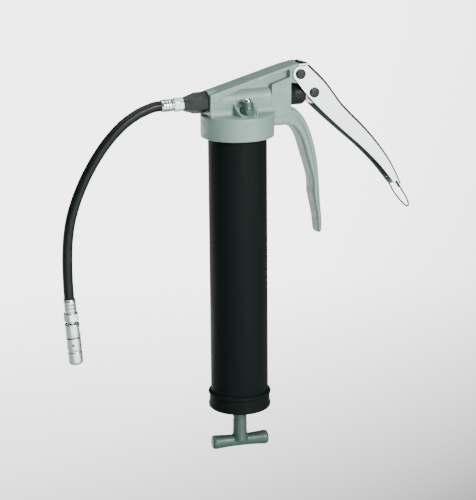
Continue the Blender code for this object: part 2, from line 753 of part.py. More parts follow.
def build_lever():
    """Pressed channel lever: a web on the outer side, two plates that straddle the head, and a round nose."""
    nose = arc(PIVOT, 7.4, 205, 75, 8)
    tip = [(177.3, 61.8), (175.4, 59.6)]
    outline = LEVER_TOP + tip + LEVER_BOTTOM + nose + [(69.0, 191.9)]
    lever = finish("lever", slab(outline, -LEVER_HALF, LEVER_HALF), CHROME)
    under = offset_inwards(LEVER_TOP, SHEET)
    clear = [(185.0, 40.0), (120.0, 60.0), (40.0, 150.0), (40.0, 205.0), (under[0][0], 205.0)]
    inner = under[:-1] + [(175.6, 63.6), (176.2, 58.0)] + clear
    cut(lever, finish("inside", slab(inner, SHEET - LEVER_HALF, LEVER_HALF - SHEET), CHROME))
    ears = []
    for side in (-1, 1):
        low, high = sorted((side * (LEVER_HALF - SHEET), side * LEVER_HALF))
        ears.append(finish("ear", box_shape((59.6, low, 193.1), (71.3, high, 194.3)), CHROME))
    join(lever, *ears)
    cut(lever, finish("h1", rod_shape(PIN_R + GAP, -20, 20, 20), CHROME, along_y(*PIVOT)))
    cut(lever, finish("h2", rod_shape(PIN_R + GAP, -20, 20, 20), CHROME, along_y(*DRIVE)))
    cut(lever, finish("h3", rod_shape(RING_WIRE + GAP, -20, 20, 10), CHROME, along_y(*RING_HOLE)))
    taper(lever.data)
    set_origin(lever, PIVOT[0], 0, PIVOT[1])
    return lever


def build_pin(name, centre):
    """Headed pin across the lever, with a groove for its clip at the far end."""
    face = LEVER_HALF + GAP
    head = [(0, -face - PIN_HEAD_THICK), (PIN_HEAD_R - 1.4, -face - PIN_HEAD_THICK)]
    head += [(PIN_HEAD_R - 0.3, -face - PIN_HEAD_THICK + 0.7), (PIN_HEAD_R, -face - 0.9), (PIN_HEAD_R, -face)]
    shaft = [(PIN_R, -face), (PIN_R, face), (PIN_R - 0.7, face), (PIN_R - 0.7, face + 1.5)]
    shaft += [(PIN_R, face + 1.5), (PIN_R, face + 2.2), (PIN_R - 0.5, face + 2.7), (0, face + 2.7)]
    pin = finish(name, turned(head + shaft, 16), PIN_STEEL, along_y(*centre))
    set_origin(pin, centre[0], 0, centre[1])
    return pin


def build_clip(name, centre):
    """Open retaining clip in a pin's groove."""
    start = LEVER_HALF + GAP + 0.2
    outer = arc((0, 0), 5.2, -140, 140, 12)
    inner = arc((0, 0), PIN_R - 0.7 + GAP, 140, -140, 12)
    clip = finish(name, slab(outer + inner, start, start + 1.0, "Z"), STEEL, along_y(*centre))
    set_origin(clip, centre[0], 0, centre[1])
    return clip


# Half of the loop: distance from the holes towards its round end, and half width
RING_SIDE = [(0.0, 8.1), (0.0, 9.9), (0.5, 11.0), (1.6, 11.45), (9.0, 11.7), (17.0, 12.3), (23.0, 11.4)]
RING_BOW = [(28.0, 9.2), (31.8, 6.2), (34.2, 2.9), (35.0, 0.0)]


def build_lock_ring():
    """Wire loop that straddles the lever's tip, with its ends turned in through the plates."""
    hole = Vector((RING_HOLE[0], 0, RING_HOLE[1]))
    along = Vector((RING_END[0] - RING_HOLE[0], 0, RING_END[1] - RING_HOLE[1])).normalized()
    side = RING_SIDE + RING_BOW
    other = [(d, -y) for d, y in side[:-1]]
    points = [hole + along * d + Vector((0, y, 0)) for d, y in side + other[::-1]]
    ring = finish("lock_ring", wire(points, RING_WIRE, 6), CHROME)
    set_origin(ring, RING_HOLE[0], 0, RING_HOLE[1])
    return ring


# ---------------------------------------------------------------- hose and coupler


def build_gun_ferrule():
    """Crimped ferrule with a hex and a threaded nipple, at the gun end of the hose."""
    start = NOSE_X - NUT_LENGTH - GAP
    end = HOSE_START[0] + GAP - start
    outside = [(1.5, end), (5.3, end), (5.8, end + 0.5), (5.8, -10.8), (5.2, -10.0), (5.2, -9.4), (6.8, -9.4, HEX)]
    outside += [(6.8, 0.0, HEX), (3.3, 0.0), (3.3, 7.6), (2.9, 8.0), (1.5, 8.0)]
    finish("hose_ferrule_gun", turned(outside, 18, hollow=True), ZINC, along_x(start))


def build_hose():
    """High-pressure rubber hose as a free-hanging tube."""
    curve = bpy.data.curves.new("hose", "CURVE")
    curve.dimensions = "3D"
    curve.bevel_depth = HOSE_R
    curve.bevel_resolution = 3
    curve.use_fill_caps = True
    spline = curve.splines.new("POLY")
    points = smooth_route(HOSE_ROUTE, 4 * HOSE_R)
    down = coupler_frame().to_3x3() @ Vector((0, 0, 1))
    points.insert(1, points[0] + Vector((-STRAIGHT, 0, 0)))
    points.insert(-1, points[-1] - STRAIGHT * down)
    spline.points.add(len(points) - 1)
    for target, point in zip(spline.points, points):
        target.co = (*point, 1.0)
    spline.use_smooth = True
    curve.materials.append(material(RUBBER))
    item = bpy.data.objects.new("hose", curve)
    bpy.context.scene.collection.objects.link(item)
    return item


def build_coupler_ferrule():
    """The same ferrule at the coupler end."""
    outside = [(1.5, GAP), (5.5, GAP), (6.0, 0.9), (6.0, 13.4), (5.5, 14.0), (5.5, 14.4), (7.4, 14.4, HEX)]
    outside += [(7.4, 21.6, HEX), (5.2, 21.6), (4.6, 23.4), (3.3, 23.8), (3.3, 31.6), (1.5, 31.6)]
    finish("hose_ferrule_coupler", turned(outside, 18, hollow=True), ZINC, coupler_frame())


def build_coupler():
    """Hydraulic coupler: body, sleeve, three jaws, seal and spring."""
    frame = coupler_frame()
    body = [(3.6, 24.6), (6.7, 24.6), (7.3, 25.4), (7.3, 37.8), (6.9, 38.5), (5.5, 38.5), (5.5, 44.0)]
    body += [(1.6, 44.0), (1.6, 32.2), (3.6, 32.2)]
    finish("coupler_body", turned(body, 20, hollow=True), CHROME, frame)
    sleeve = [(5.9, 38.8), (6.9, 38.8), (7.1, 39.2), (7.1, 51.2), (6.85, 51.6), (6.85, 52.6), (7.1, 53.0)]
    sleeve += [(7.1, 63.8), (6.3, 65.3), (5.3, 65.3), (5.3, 63.0), (5.9, 62.2)]
    finish("coupler_sleeve", turned(sleeve, 20, hollow=True), CHROME, frame)
    points = helix(4.5, 44.9, 49.2, 3, 8, 0.5, 1.2)
    finish("coupler_spring", wire(points, 0.5, 5), STEEL, frame)
    finish("coupler_seal", tube_shape(1.7, 5.5, 50.1, 54.0, 20), RUBBER, frame)
    for k in range(3):
        build_jaw(k, frame)


def build_jaw(number, frame):
    """One of the three jaws: a third of a ring with a stepped nose."""
    start = 120.0 * number + 6.0
    end = 120.0 * number + 114.0
    sections = []
    for low, high, inner, outer in ((54.3, 61.6, 4.1, 5.6), (61.6, 64.4, 3.8, 5.0)):
        ring = arc((0, 0), outer, start, end, 7) + arc((0, 0), inner, end, start, 7)
        for height in (low, high):
            sections.append([(x, y, height) for x, y in ring])
    finish(f"coupler_jaw_{number + 1}", loft(sections), STEEL, frame)


def build_all():
    """Every piece of the gun."""
    clear_scene()
    build_barrel_tube()
    build_end_cap()
    build_barrel_gasket()
    build_follower()
    build_follower_spring()
    build_rod()
    build_head_casting()
    build_outlet_nut()
    build_check_valve()
    build_plunger()
    build_gland()
    build_bleed_valve()
    build_lever()
    build_pin("pivot_pin", PIVOT)
    build_clip("pivot_clip", PIVOT)
    build_pin("drive_pin", DRIVE)
    build_clip("drive_clip", DRIVE)
    build_lock_ring()
    build_gun_ferrule()
    build_hose()
    build_coupler_ferrule()
    build_coupler()
    to_metres()


build_all()
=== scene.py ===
"""Looks of the pistol-grip grease gun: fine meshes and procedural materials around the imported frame.

Lengths are in millimetres in the gun's own frame (barrel along Z, pump along X) and become metres when a
piece is finished. Every fine piece replaces the plain CAD node of the same name and rides on its body.
"""

import json
import math

import bmesh
import bpy
from mathutils import Matrix, Vector


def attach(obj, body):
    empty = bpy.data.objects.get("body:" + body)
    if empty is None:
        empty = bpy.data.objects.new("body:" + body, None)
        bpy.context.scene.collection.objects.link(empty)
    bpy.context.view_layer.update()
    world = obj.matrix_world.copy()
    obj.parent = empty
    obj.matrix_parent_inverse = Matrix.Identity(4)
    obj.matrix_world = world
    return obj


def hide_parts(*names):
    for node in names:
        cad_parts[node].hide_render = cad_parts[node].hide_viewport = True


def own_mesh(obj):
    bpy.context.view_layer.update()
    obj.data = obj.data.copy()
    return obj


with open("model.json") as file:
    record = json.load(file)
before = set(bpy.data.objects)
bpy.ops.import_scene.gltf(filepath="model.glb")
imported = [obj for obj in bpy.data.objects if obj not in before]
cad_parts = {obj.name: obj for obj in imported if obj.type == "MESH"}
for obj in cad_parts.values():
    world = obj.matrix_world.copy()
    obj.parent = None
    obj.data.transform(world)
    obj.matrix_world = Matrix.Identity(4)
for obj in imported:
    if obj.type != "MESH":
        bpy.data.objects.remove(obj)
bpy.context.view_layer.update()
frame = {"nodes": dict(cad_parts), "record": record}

MM = 0.001
GAP = 0.3
HEX = "hexagon"
MERGE = 0.0005
SIDES = 128

FLOOR_GLOW = 4.2
FLOOR_HALF = 9000
FLOOR_TOP = -540
FLOOR_THICK = 20

# Camera
AZIMUTH = math.radians(-25.0)
ELEVATION = math.radians(15.58)
ROLL = math.radians(-0.495)
LENS = 127.9
DISTANCE = 1741.4
TARGET = (-0.33, 0.155, 13.3)

# Barrel, cap and collar
BARREL_R = 28.5
BARREL_WALL = 1.5
BARREL_TOP = 142.0
BARREL_BOTTOM = -146.7
CAP_TOP = -129.7
CAP_BOTTOM = -148.3
CAP_SKIN_R = 29.9
CAP_BEAD_R = 31.2
CAP_BULGE_R = 30.9
COLLAR_R = 35.65
COLLAR_BOTTOM = 128.0
COLLAR_TOP = 150.3
COLLAR_CEILING = 144.6

# Rod and handle
ROD_R = 4.0
HANDLE_Z = -185.3
HANDLE_LENGTH = 58.0
HANDLE_NECK_R = 7.0
HANDLE_END_R = 7.1
HANDLE_WAIST_R = 6.0
HANDLE_TURN = math.radians(-9.0)
HANDLE_PIN_Z = -161.0

# Pump
PUMP_Z = 163.5
NOSE_X = -33.0
REAR_X = 52.3
PUMP_HALF = 11.5
HEAD_HALF = 12.0
TIP_HALF = 11.4
PLUNGER_R = 5.0
PLUNGER_FRONT = -6.0
NUT_LENGTH = 24.2
NUT_HEX = 12.4
BOOT_R = 11.0
BOOT_END = 69.7

# Lever
PIVOT = (61.6, 184.6)
DRIVE = (76.5, 165.3)
PIN_R = 3.0
PIN_HEAD_R = 5.0
PIN_HEAD_THICK = 2.3
SHEET = 1.5
BEND_R = 3.2
LEVER_HALF = 13.2
LEVER_TIP_HALF = 10.2
TAPER_START = 80.0
TAPER_END = 176.0
RING_HOLE = (171.2, 66.0)
RING_END = (189.3, 37.0)
RING_WIRE = 0.8

# Bleed valve
BLEED_X = 1.0
BLEED_Y = -21.0
BLEED_LIP = 10.5
LIP_WALL = 1.6
LIP_RISE = 1.5
BLEED_SEAT = COLLAR_TOP + 2.3
BLEED_SLOPE = 0.6
BLEED_FACE_TOP = 161.7

# Hose, its route in the XZ plane from the gun to the coupler, and the coupler's lean
HOSE_R = 4.9
STRAIGHT = 3.0
HOSE_START = (-80.0, 163.5)
HOSE_END = (-176.6, -12.0)
COUPLER_LEAN = math.radians(4.2)
HOSE_ROUTE = [
    HOSE_START,
    (-84.8, 163.3),
    (-89.8, 162.3),
    (-101.9, 158.2),
    (-114.9, 151.0),
    (-126.0, 142.0),
    (-136.2, 131.5),
    (-145.2, 120.0),
    (-153.4, 107.5),
    (-160.3, 94.9),
    (-165.8, 83.0),
    (-169.9, 71.9),
    (-173.3, 59.9),
    (-175.8, 44.7),
    (-177.0, 29.3),
    (-177.3, 15.7),
    (-177.2, 1.9),
    HOSE_END,
]


# ---- materials


class Shader:
    """A Principled material whose nodes are added by name."""

    def __init__(self, name, colour, roughness, metallic):
        self.made = bpy.data.materials.new(name)
        self.made.use_nodes = True
        self.made.diffuse_color = (*colour, 1.0)
        self.tree = self.made.node_tree
        self.main = self.tree.nodes["Principled BSDF"]
        self.main.inputs["Base Color"].default_value = (*colour, 1.0)
        self.main.inputs["Roughness"].default_value = roughness
        self.main.inputs["Metallic"].default_value = metallic
        self.place = self.add("TexCoord").outputs["Object"]
        self.normal = None
        self.link = self.tree.links.new

    def add(self, kind):
        """A new node."""
        return self.tree.nodes.new("ShaderNode" + kind)

    def noise(self, scale, detail=3.0, stretch=None):
        """Noise in the object's own space, scale in features per metre."""
        node = self.add("TexNoise")
        node.inputs["Scale"].default_value = scale
        node.inputs["Detail"].default_value = detail
        where = self.place
        if stretch:
            mapping = self.add("Mapping")
            mapping.inputs["Scale"].default_value = stretch
            self.link(where, mapping.inputs["Vector"])
            where = mapping.outputs["Vector"]
        self.link(where, node.inputs["Vector"])
        return node.outputs["Fac"]

    def remap(self, value, low, high, to_low, to_high):
        """Linear change of range, clamped."""
        node = self.add("MapRange")
        limits = {"From Min": low, "From Max": high, "To Min": to_low, "To Max": to_high}
        for socket, number in limits.items():
            node.inputs[socket].default_value = number
        self.link(value, node.inputs["Value"])
        return node.outputs["Result"]

    def measure(self, operation, vector):
        """Length or direction of a vector, by the operation LENGTH or NORMALIZE."""
        node = self.add("VectorMath")
        node.operation = operation
        self.link(vector, node.inputs[0])
        return node.outputs["Value" if operation == "LENGTH" else "Vector"]

    def math(self, operation, *values):
        """Arithmetic on one or two values."""
        node = self.add("Math")
        node.operation = operation
        for value, socket in zip(values, node.inputs):
            self.link(value, socket)
        return node.outputs["Value"]

    def roughen(self, value):
        """Drive the roughness."""
        self.link(value, self.main.inputs["Roughness"])

    def mix(self, value, under, over):
        """Lay a colour over another, or over an earlier mix, by a value."""
        node = self.add("Mix")
        node.data_type = "RGBA"
        if isinstance(under, tuple):
            node.inputs["A"].default_value = (*under, 1.0)
        else:
            self.link(under, node.inputs["A"])
        node.inputs["B"].default_value = (*over, 1.0)
        self.link(value, node.inputs["Factor"])
        return node.outputs["Result"]

    def paint(self, colour):
        """Drive the base colour."""
        self.link(colour, self.main.inputs["Base Color"])

    def bump(self, height, strength, distance):
        """Add a bump on top of those already there; distance in millimetres."""
        node = self.add("Bump")
        node.inputs["Strength"].default_value = strength
        node.inputs["Distance"].default_value = distance * MM
        self.link(height, node.inputs["Height"])
        if self.normal:
            self.link(self.normal, node.inputs["Normal"])
        self.normal = node.outputs["Normal"]
        self.link(self.normal, self.main.inputs["Normal"])

    def edges(self, low=0.52, high=0.6):
        """How convex the surface is, from the mesh."""
        node = self.add("NewGeometry")
        return self.remap(node.outputs["Pointiness"], low, high, 0.0, 1.0)


def cast_paint(name, colour, roughness, metallic, pale):
    """Satin coat over a sand casting: faint mottling, fine grain, and edges rubbed paler."""
    look = Shader(name, colour, roughness, metallic)
    mottle = look.remap(look.noise(90, 4.0), 0.3, 0.7, 0.0, 1.0)
    darker = tuple(c * 0.86 for c in colour)
    base = look.mix(mottle, darker, colour)
    speck = look.remap(look.noise(1400, 2.0), 0.62, 0.75, 0.0, 0.35)
    base = look.mix(speck, base, tuple(c * 0.7 for c in colour))
    base = look.mix(look.edges(), base, pale)
    look.paint(base)
    look.roughen(look.remap(look.noise(240, 3.0), 0.3, 0.7, roughness - 0.07, roughness + 0.09))
    look.bump(look.noise(1100, 3.0), 0.35, 0.12)
    look.bump(look.noise(260, 2.0), 0.25, 0.25)
    return look.made


def enamel(name, colour, roughness, worn):
    """Black enamel: fine orange peel, soft dust and dull streaks along the tube."""
    look = Shader(name, colour, roughness, 0.0)
    look.main.inputs["Specular IOR Level"].default_value = 0.05
    dust = look.remap(look.noise(38, 5.0, (1.0, 1.0, 0.25)), 0.55, 0.8, 0.0, 0.5)
    look.paint(look.mix(dust, colour, worn))
    streaks = look.noise(70, 5.0, (1.0, 1.0, 0.15))
    look.roughen(look.remap(streaks, 0.3, 0.75, roughness - 0.06, roughness + 0.12))
    look.bump(look.noise(900, 2.0), 0.12, 0.06)
    return look.made


def plating(name, colour, roughness, grain, scuff):
    """Bright plating: fine grain, faint waviness and cloudy patches."""
    look = Shader(name, colour, roughness, 1.0)
    cloud = look.remap(look.noise(60, 4.0), 0.35, 0.75, 0.0, 1.0)
    look.paint(look.mix(cloud, colour, tuple(c * 0.9 for c in colour)))
    look.roughen(look.remap(look.noise(180, 5.0), 0.35, 0.75, roughness, roughness + scuff))
    look.bump(look.noise(grain, 3.0), 0.03, 0.03)
    look.bump(look.noise(45, 2.0), 0.03, 0.2)
    return look.made


def dark_steel(name, colour, roughness):
    """Phosphated or oxidised steel with paler rubbed edges."""
    look = Shader(name, colour, roughness, 0.2)
    look.main.inputs["Specular IOR Level"].default_value = 0.25
    cloud = look.remap(look.noise(170, 4.0), 0.35, 0.7, 0.0, 1.0)
    base = look.mix(cloud, colour, tuple(c * 1.7 for c in colour))
    base = look.mix(look.edges(0.56, 0.66), base, tuple(c * 3.0 + 0.01 for c in colour))
    look.paint(base)
    look.roughen(look.remap(look.noise(320, 4.0), 0.3, 0.7, roughness - 0.05, roughness + 0.12))
    look.bump(look.noise(1500, 2.0), 0.2, 0.05)
    return look.made


def rubber(name, colour, roughness):
    """Matt black rubber with a fine grain and a little bloom."""
    look = Shader(name, colour, roughness, 0.0)
    look.main.inputs["Specular IOR Level"].default_value = 0.16
    bloom = look.remap(look.noise(85, 5.0), 0.55, 0.8, 0.0, 0.35)
    look.paint(look.mix(bloom, colour, tuple(c * 3.0 for c in colour)))
    look.roughen(look.remap(look.noise(150, 4.0), 0.3, 0.7, roughness - 0.05, roughness + 0.12))
    look.bump(look.noise(1700, 2.0), 0.2, 0.05)
    return look.made


# Material: maker, colour, roughness and what else the maker takes
LOOK_TABLE = {
    "grey_paint": (cast_paint, (0.155, 0.235, 0.21), 0.46, 0.15, (0.27, 0.36, 0.33)),
    "handle_paint": (cast_paint, (0.027, 0.062, 0.049), 0.45, 0.15, (0.06, 0.11, 0.09)),
    "black_paint": (enamel, (0.003, 0.0055, 0.005), 0.55, (0.007, 0.011, 0.010)),
    "black_oxide": (dark_steel, (0.0045, 0.009, 0.008), 0.32),
    "pin_steel": (dark_steel, (0.009, 0.014, 0.012), 0.42),
    "chrome": (plating, (0.77, 0.82, 0.80), 0.13, 900, 0.05),
    "zinc": (plating, (0.56, 0.67, 0.635), 0.22, 1400, 0.1),
    "steel": (plating, (0.5, 0.51, 0.5), 0.3, 1800, 0.15),
    # very dark plating for the inside of the lever's channel: painted shade over a duller finish
    "dull_plating": (plating, (0.07, 0.10, 0.092), 0.35, 1400, 0.2),
    "rubber": (rubber, (0.004, 0.0055, 0.006), 0.34),
}
LOOKS = {name: maker(name, *values) for name, (maker, *values) in LOOK_TABLE.items()}
SLOTS = {entry["node"]: entry["material_slot"] for entry in frame["record"]["subparts"]}
BODIES = {node: body for body, nodes in frame["record"]["behaviour"]["bodies"].items() for node in nodes}


# ---- mesh helpers


def new_object(name, data):
    """A new object in the scene."""
    item = bpy.data.objects.new(name, data)
    bpy.context.scene.collection.objects.link(item)
    return item


def solid(name, bm, place=None):
    """Turn a bmesh into an object, moved by an optional matrix. Everything stays in millimetres for now."""
    if place is not None:
        bmesh.ops.transform(bm, matrix=place, verts=bm.verts)
    bmesh.ops.recalc_face_normals(bm, faces=bm.faces)
    mesh = bpy.data.meshes.new(name)
    bm.to_mesh(mesh)
    bm.free()
    return new_object(name, mesh)


def apply_modifiers(item):
    """Bake an object's modifiers into its mesh."""
    bpy.context.view_layer.update()
    graph = bpy.context.evaluated_depsgraph_get()
    result = bpy.data.meshes.new_from_object(item.evaluated_get(graph))
    item.modifiers.clear()
    old = item.data
    item.data = result
    bpy.data.meshes.remove(old)
    return item


def combine(item, tools, operation):
    """Union the tools with the item, or cut them from it, one by one."""
    for tool in tools:
        step = item.modifiers.new("step", "BOOLEAN")
        step.operation = operation
        step.solver = "EXACT"
        step.object = tool
        apply_modifiers(item)
        weld(item.data)
        bpy.data.objects.remove(tool)
    return item


def weld(mesh):
    """Merge the coincident points a Boolean can leave."""
    bm = bmesh.new()
    bm.from_mesh(mesh)
    bmesh.ops.remove_doubles(bm, verts=bm.verts, dist=MERGE)
    bmesh.ops.dissolve_degenerate(bm, dist=MERGE, edges=bm.edges)
    bm.to_mesh(mesh)
    bm.free()


def join(item, *tools):
    """Union."""
    return combine(item, tools, "UNION")


def cut(item, *tools):
    """Difference."""
    return combine(item, tools, "DIFFERENCE")


def round_edges(item, width, segments=3, angle=30):
    """Round the sharp edges of a hard-edged piece."""
    step = item.modifiers.new("round", "BEVEL")
    step.width = width
    step.segments = segments
    step.limit_method = "ANGLE"
    step.angle_limit = math.radians(angle)
    return apply_modifiers(item)


def recast(item, voxel, rounds):
    """Remake a casting's skin from voxels and soften it, so that its inside corners become fillets."""
    step = item.modifiers.new("cast", "REMESH")
    step.mode = "VOXEL"
    step.voxel_size = voxel
    apply_modifiers(item)
    soften = item.modifiers.new("soften", "SMOOTH")
    soften.factor = 0.5
    soften.iterations = rounds
    return apply_modifiers(item)


def publish(item, *nodes, look=None, origin=None, sharp=40):
    """Bring a finished piece to metres, shade it, and let it stand for its CAD nodes."""
    nodes = nodes or (item.name,)
    item.data.transform(Matrix.Scale(MM, 4))
    if item.type == "MESH":
        item.data.shade_smooth()
        item.data.set_sharp_from_angle(angle=math.radians(sharp))
    slot = look or SLOTS[nodes[0]]
    item.data.materials.clear()
    item.data.materials.append(LOOKS[slot])
    item.name = nodes[0] + "_fine"
    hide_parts(*nodes)
    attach(item, BODIES[nodes[0]])
    return item


def spin(degrees, axis="Z"):
    """Rotation matrix."""
    return Matrix.Rotation(math.radians(degrees), 4, axis)


def along_x(x=0.0):
    """Matrix that lays a shape turned about Z along +X, on the pump's axis."""
    return Matrix.Translation((x, 0.0, PUMP_Z)) @ spin(90, "Y")


def along_y(x, z):
    """Matrix that lays a shape turned about Z along +Y, with its axis through (x, z)."""
    return Matrix.Translation((x, 0, z)) @ spin(-90, "X")


def bleed_frame():
    """Matrix that stands a shape turned about Z on the bleed valve's axis."""
    return Matrix.Translation((BLEED_X, BLEED_Y, 0))


def coupler_frame():
    """Matrix from distances down the coupler's axis (as +Z) to the gun's frame."""
    start = Matrix.Translation((HOSE_END[0], 0, HOSE_END[1]))
    return start @ Matrix.Rotation(math.pi - COUPLER_LEAN, 4, "Y")


def hexagon(a):
    """Reach of a hexagon at an angle, as a share of its corners' radius."""
    sixth = math.pi / 3
    return math.cos(sixth / 2) / math.cos(a % sixth - sixth / 2)


def turned(profile, sides=SIDES, hollow=False):
    """A solid turned about Z from (radius, height) points; a hollow one closes its profile on itself.
    A point with a third value, HEX, makes its ring a hexagon whose corners are at that radius."""
    bm = bmesh.new()
    rings = []
    for radius, height, *shape in profile:
        if radius == 0:
            rings.append([bm.verts.new((0, 0, height))])
            continue
        ring = []
        for k in range(sides):
            a = 2 * math.pi * k / sides
            reach = radius
            if shape:
                reach = min(radius * hexagon(a), shape[1] if len(shape) > 1 else radius)
            ring.append(bm.verts.new((reach * math.cos(a), reach * math.sin(a), height)))
        rings.append(ring)
    pairs = list(zip(rings, rings[1:]))
    if hollow:
        pairs.append((rings[-1], rings[0]))
    for low, high in pairs:
        for k in range(sides):
            after = (k + 1) % sides
            face = [low[k % len(low)], low[after % len(low)], high[after % len(high)], high[k % len(high)]]
            bm.faces.new(list(dict.fromkeys(face)))
    return bm


def soft_profile(profile, radius, steps=3, closed=True):
    """Round every corner of a profile of (radius, height) points; corners on the axis stay."""
    out = []
    count = len(profile)
    for k, here in enumerate(profile):
        if not closed and k in (0, count - 1):
            out.append(here)
            continue
        point = Vector(here[:2])
        before = Vector(profile[k - 1][:2]) - point
        after = Vector(profile[(k + 1) % count][:2]) - point
        reach = min(radius, before.length * 0.45, after.length * 0.45)
        if here[0] == 0 or reach < 0.01 or before.angle(after, math.pi) > math.radians(172):
            out.append(here)
            continue
        first = point + before.normalized() * reach
        last = point + after.normalized() * reach
        for j in range(steps + 1):
            t = j / steps
            spot = first * (1 - t) ** 2 + point * (2 * t * (1 - t)) + last * t**2
            out.append((spot.x, spot.y, *here[2:]))
    return out


def rod_shape(radius, low, high, sides=64, edge=0.3):
    """A round bar along Z with softened ends."""
    return turned(soft_profile([(0, low), (radius, low), (radius, high), (0, high)], edge, 3, False), sides)


def bore_shape(radius, low, high, sides=48):
    """A sharp-edged bar along Z to cut a bore with."""
    return rod_shape(radius, low, high, sides, 0.01)


def slab(outline, low, high, axis="Y"):
    """A polygon extruded along an axis. An outline for Y holds (x, z), for X (y, z), for Z (x, y)."""
    places = {
        "Y": lambda p, d: (p[0], d, p[1]),
        "X": lambda p, d: (d, p[0], p[1]),
        "Z": lambda p, d: (p[0], p[1], d),
    }
    bm = bmesh.new()
    first = [bm.verts.new(places[axis](p, low)) for p in outline]
    second = [bm.verts.new(places[axis](p, high)) for p in outline]
    bm.faces.new(first)
    bm.faces.new(second[::-1])
    for k in range(len(outline)):
        after = (k + 1) % len(outline)
        bm.faces.new([first[k], second[k], second[after], first[after]])
    return bm


def box_shape(low, high):
    """A box between two corners."""
    (x0, y0, z0), (x1, y1, z1) = low, high
    return slab([(x0, z0), (x1, z0), (x1, z1), (x0, z1)], y0, y1)


def loft(sections):
    """A closed solid through rings of points that all have the same count."""
    bm = bmesh.new()
    rings = [[bm.verts.new(p) for p in section] for section in sections]
    for low, high in zip(rings, rings[1:]):
        count = len(low)
        for k in range(count):
            after = (k + 1) % count
            bm.faces.new([low[k], low[after], high[after], high[k]])
    bm.faces.new(rings[0][::-1])
    bm.faces.new(rings[-1])
    return bm


def wire(points, radius, sides=16):
    """A round wire through points, with flat ends."""
    points = [Vector(p) for p in points]
    sections = []
    side = None
    for k, point in enumerate(points):
        ahead = points[min(k + 1, len(points) - 1)]
        behind = points[max(k - 1, 0)]
        direction = (ahead - behind).normalized()
        if side is None:
            guess = Vector((0, 0, 1)) if abs(direction.z) < 0.9 else Vector((1, 0, 0))
            side = direction.cross(guess).normalized()
        side = (side - direction * side.dot(direction)).normalized()
        other = direction.cross(side)
        ring = []
        for j in range(sides):
            a = 2 * math.pi * j / sides
            ring.append(point + radius * (side * math.cos(a) + other * math.sin(a)))
        sections.append(ring)
    return loft(sections)


def helix(radius, low, high, turns, per_turn, end_turns, pitch):
    """Points of a compression spring about Z, with close end turns."""
    total = turns * per_turn
    points = []
    for k in range(total + 1):
        turn = k / per_turn
        lead = min(turn, end_turns)
        tail = max(0.0, turn - (turns - end_turns))
        middle = (turn - lead - tail) / (turns - 2 * end_turns)
        rise = pitch * (lead + tail) + middle * (high - low - 2 * pitch * end_turns)
        a = 2 * math.pi * turn
        points.append((radius * math.cos(a), radius * math.sin(a), low + rise))
    return points


def arc(centre, radius, start, end, count):
    """Points on an arc, angles in degrees, both ends included."""
    points = []
    for k in range(count + 1):
        a = math.radians(start + (end - start) * k / count)
        points.append((centre[0] + radius * math.cos(a), centre[1] + radius * math.sin(a)))
    return points


def curve_through(points, steps):
    """Catmull-Rom curve through points of any dimension, both ends included."""
    points = [Vector(p) for p in points]
    padded = [2 * points[0] - points[1]] + points + [2 * points[-1] - points[-2]]
    fine = []
    for a, b, c, d in zip(padded, padded[1:], padded[2:], padded[3:]):
        for k in range(steps):
            t = k / steps
            bend = (2 * a - 5 * b + 4 * c - d) * t**2 + (3 * b - a - 3 * c + d) * t**3
            fine.append(0.5 * (2 * b + (c - a) * t + bend))
    fine.append(points[-1])
    return fine


def even_points(fine, spacing):
    """Points at an even spacing along a fine line."""
    lengths = [0.0]
    for a, b in zip(fine, fine[1:]):
        lengths.append(lengths[-1] + (b - a).length)
    count = round(lengths[-1] / spacing)
    found = []
    at = 0
    for k in range(count + 1):
        want = lengths[-1] * k / count
        while at < len(lengths) - 2 and lengths[at + 1] < want:
            at += 1
        part = (want - lengths[at]) / (lengths[at + 1] - lengths[at])
        found.append(fine[at].lerp(fine[at + 1], part))
    return found


# ---- camera, light and floor


def make_camera():
    """Camera a little above the gun, looking at its left front."""
    data = bpy.data.cameras.new("camera")
    data.lens = LENS
    data.sensor_width = 36.0
    data.clip_end = 20.0
    camera = new_object("camera", data)
    bpy.context.scene.camera = camera
    a, e = AZIMUTH, ELEVATION
    back = Vector((math.sin(a) * math.cos(e), -math.cos(a) * math.cos(e), math.sin(e)))
    right = Vector((math.cos(a), math.sin(a), 0.0))
    up = back.cross(right)
    level = Matrix((right, up, back)).transposed().to_4x4()
    place = Matrix.Translation((Vector(TARGET) + back * DISTANCE) * MM)
    camera.matrix_world = place @ level @ Matrix.Rotation(ROLL, 4, "Z")


def area_light(name, place, aim, size, power):
    """A square softbox, places and size in metres."""
    data = bpy.data.lights.new(name, "AREA")
    data.size = size
    data.energy = power
    light = new_object(name, data)
    light.location = place
    light.rotation_mode = "QUATERNION"
    light.rotation_quaternion = (Vector(aim) - Vector(place)).to_track_quat("-Z", "Y")


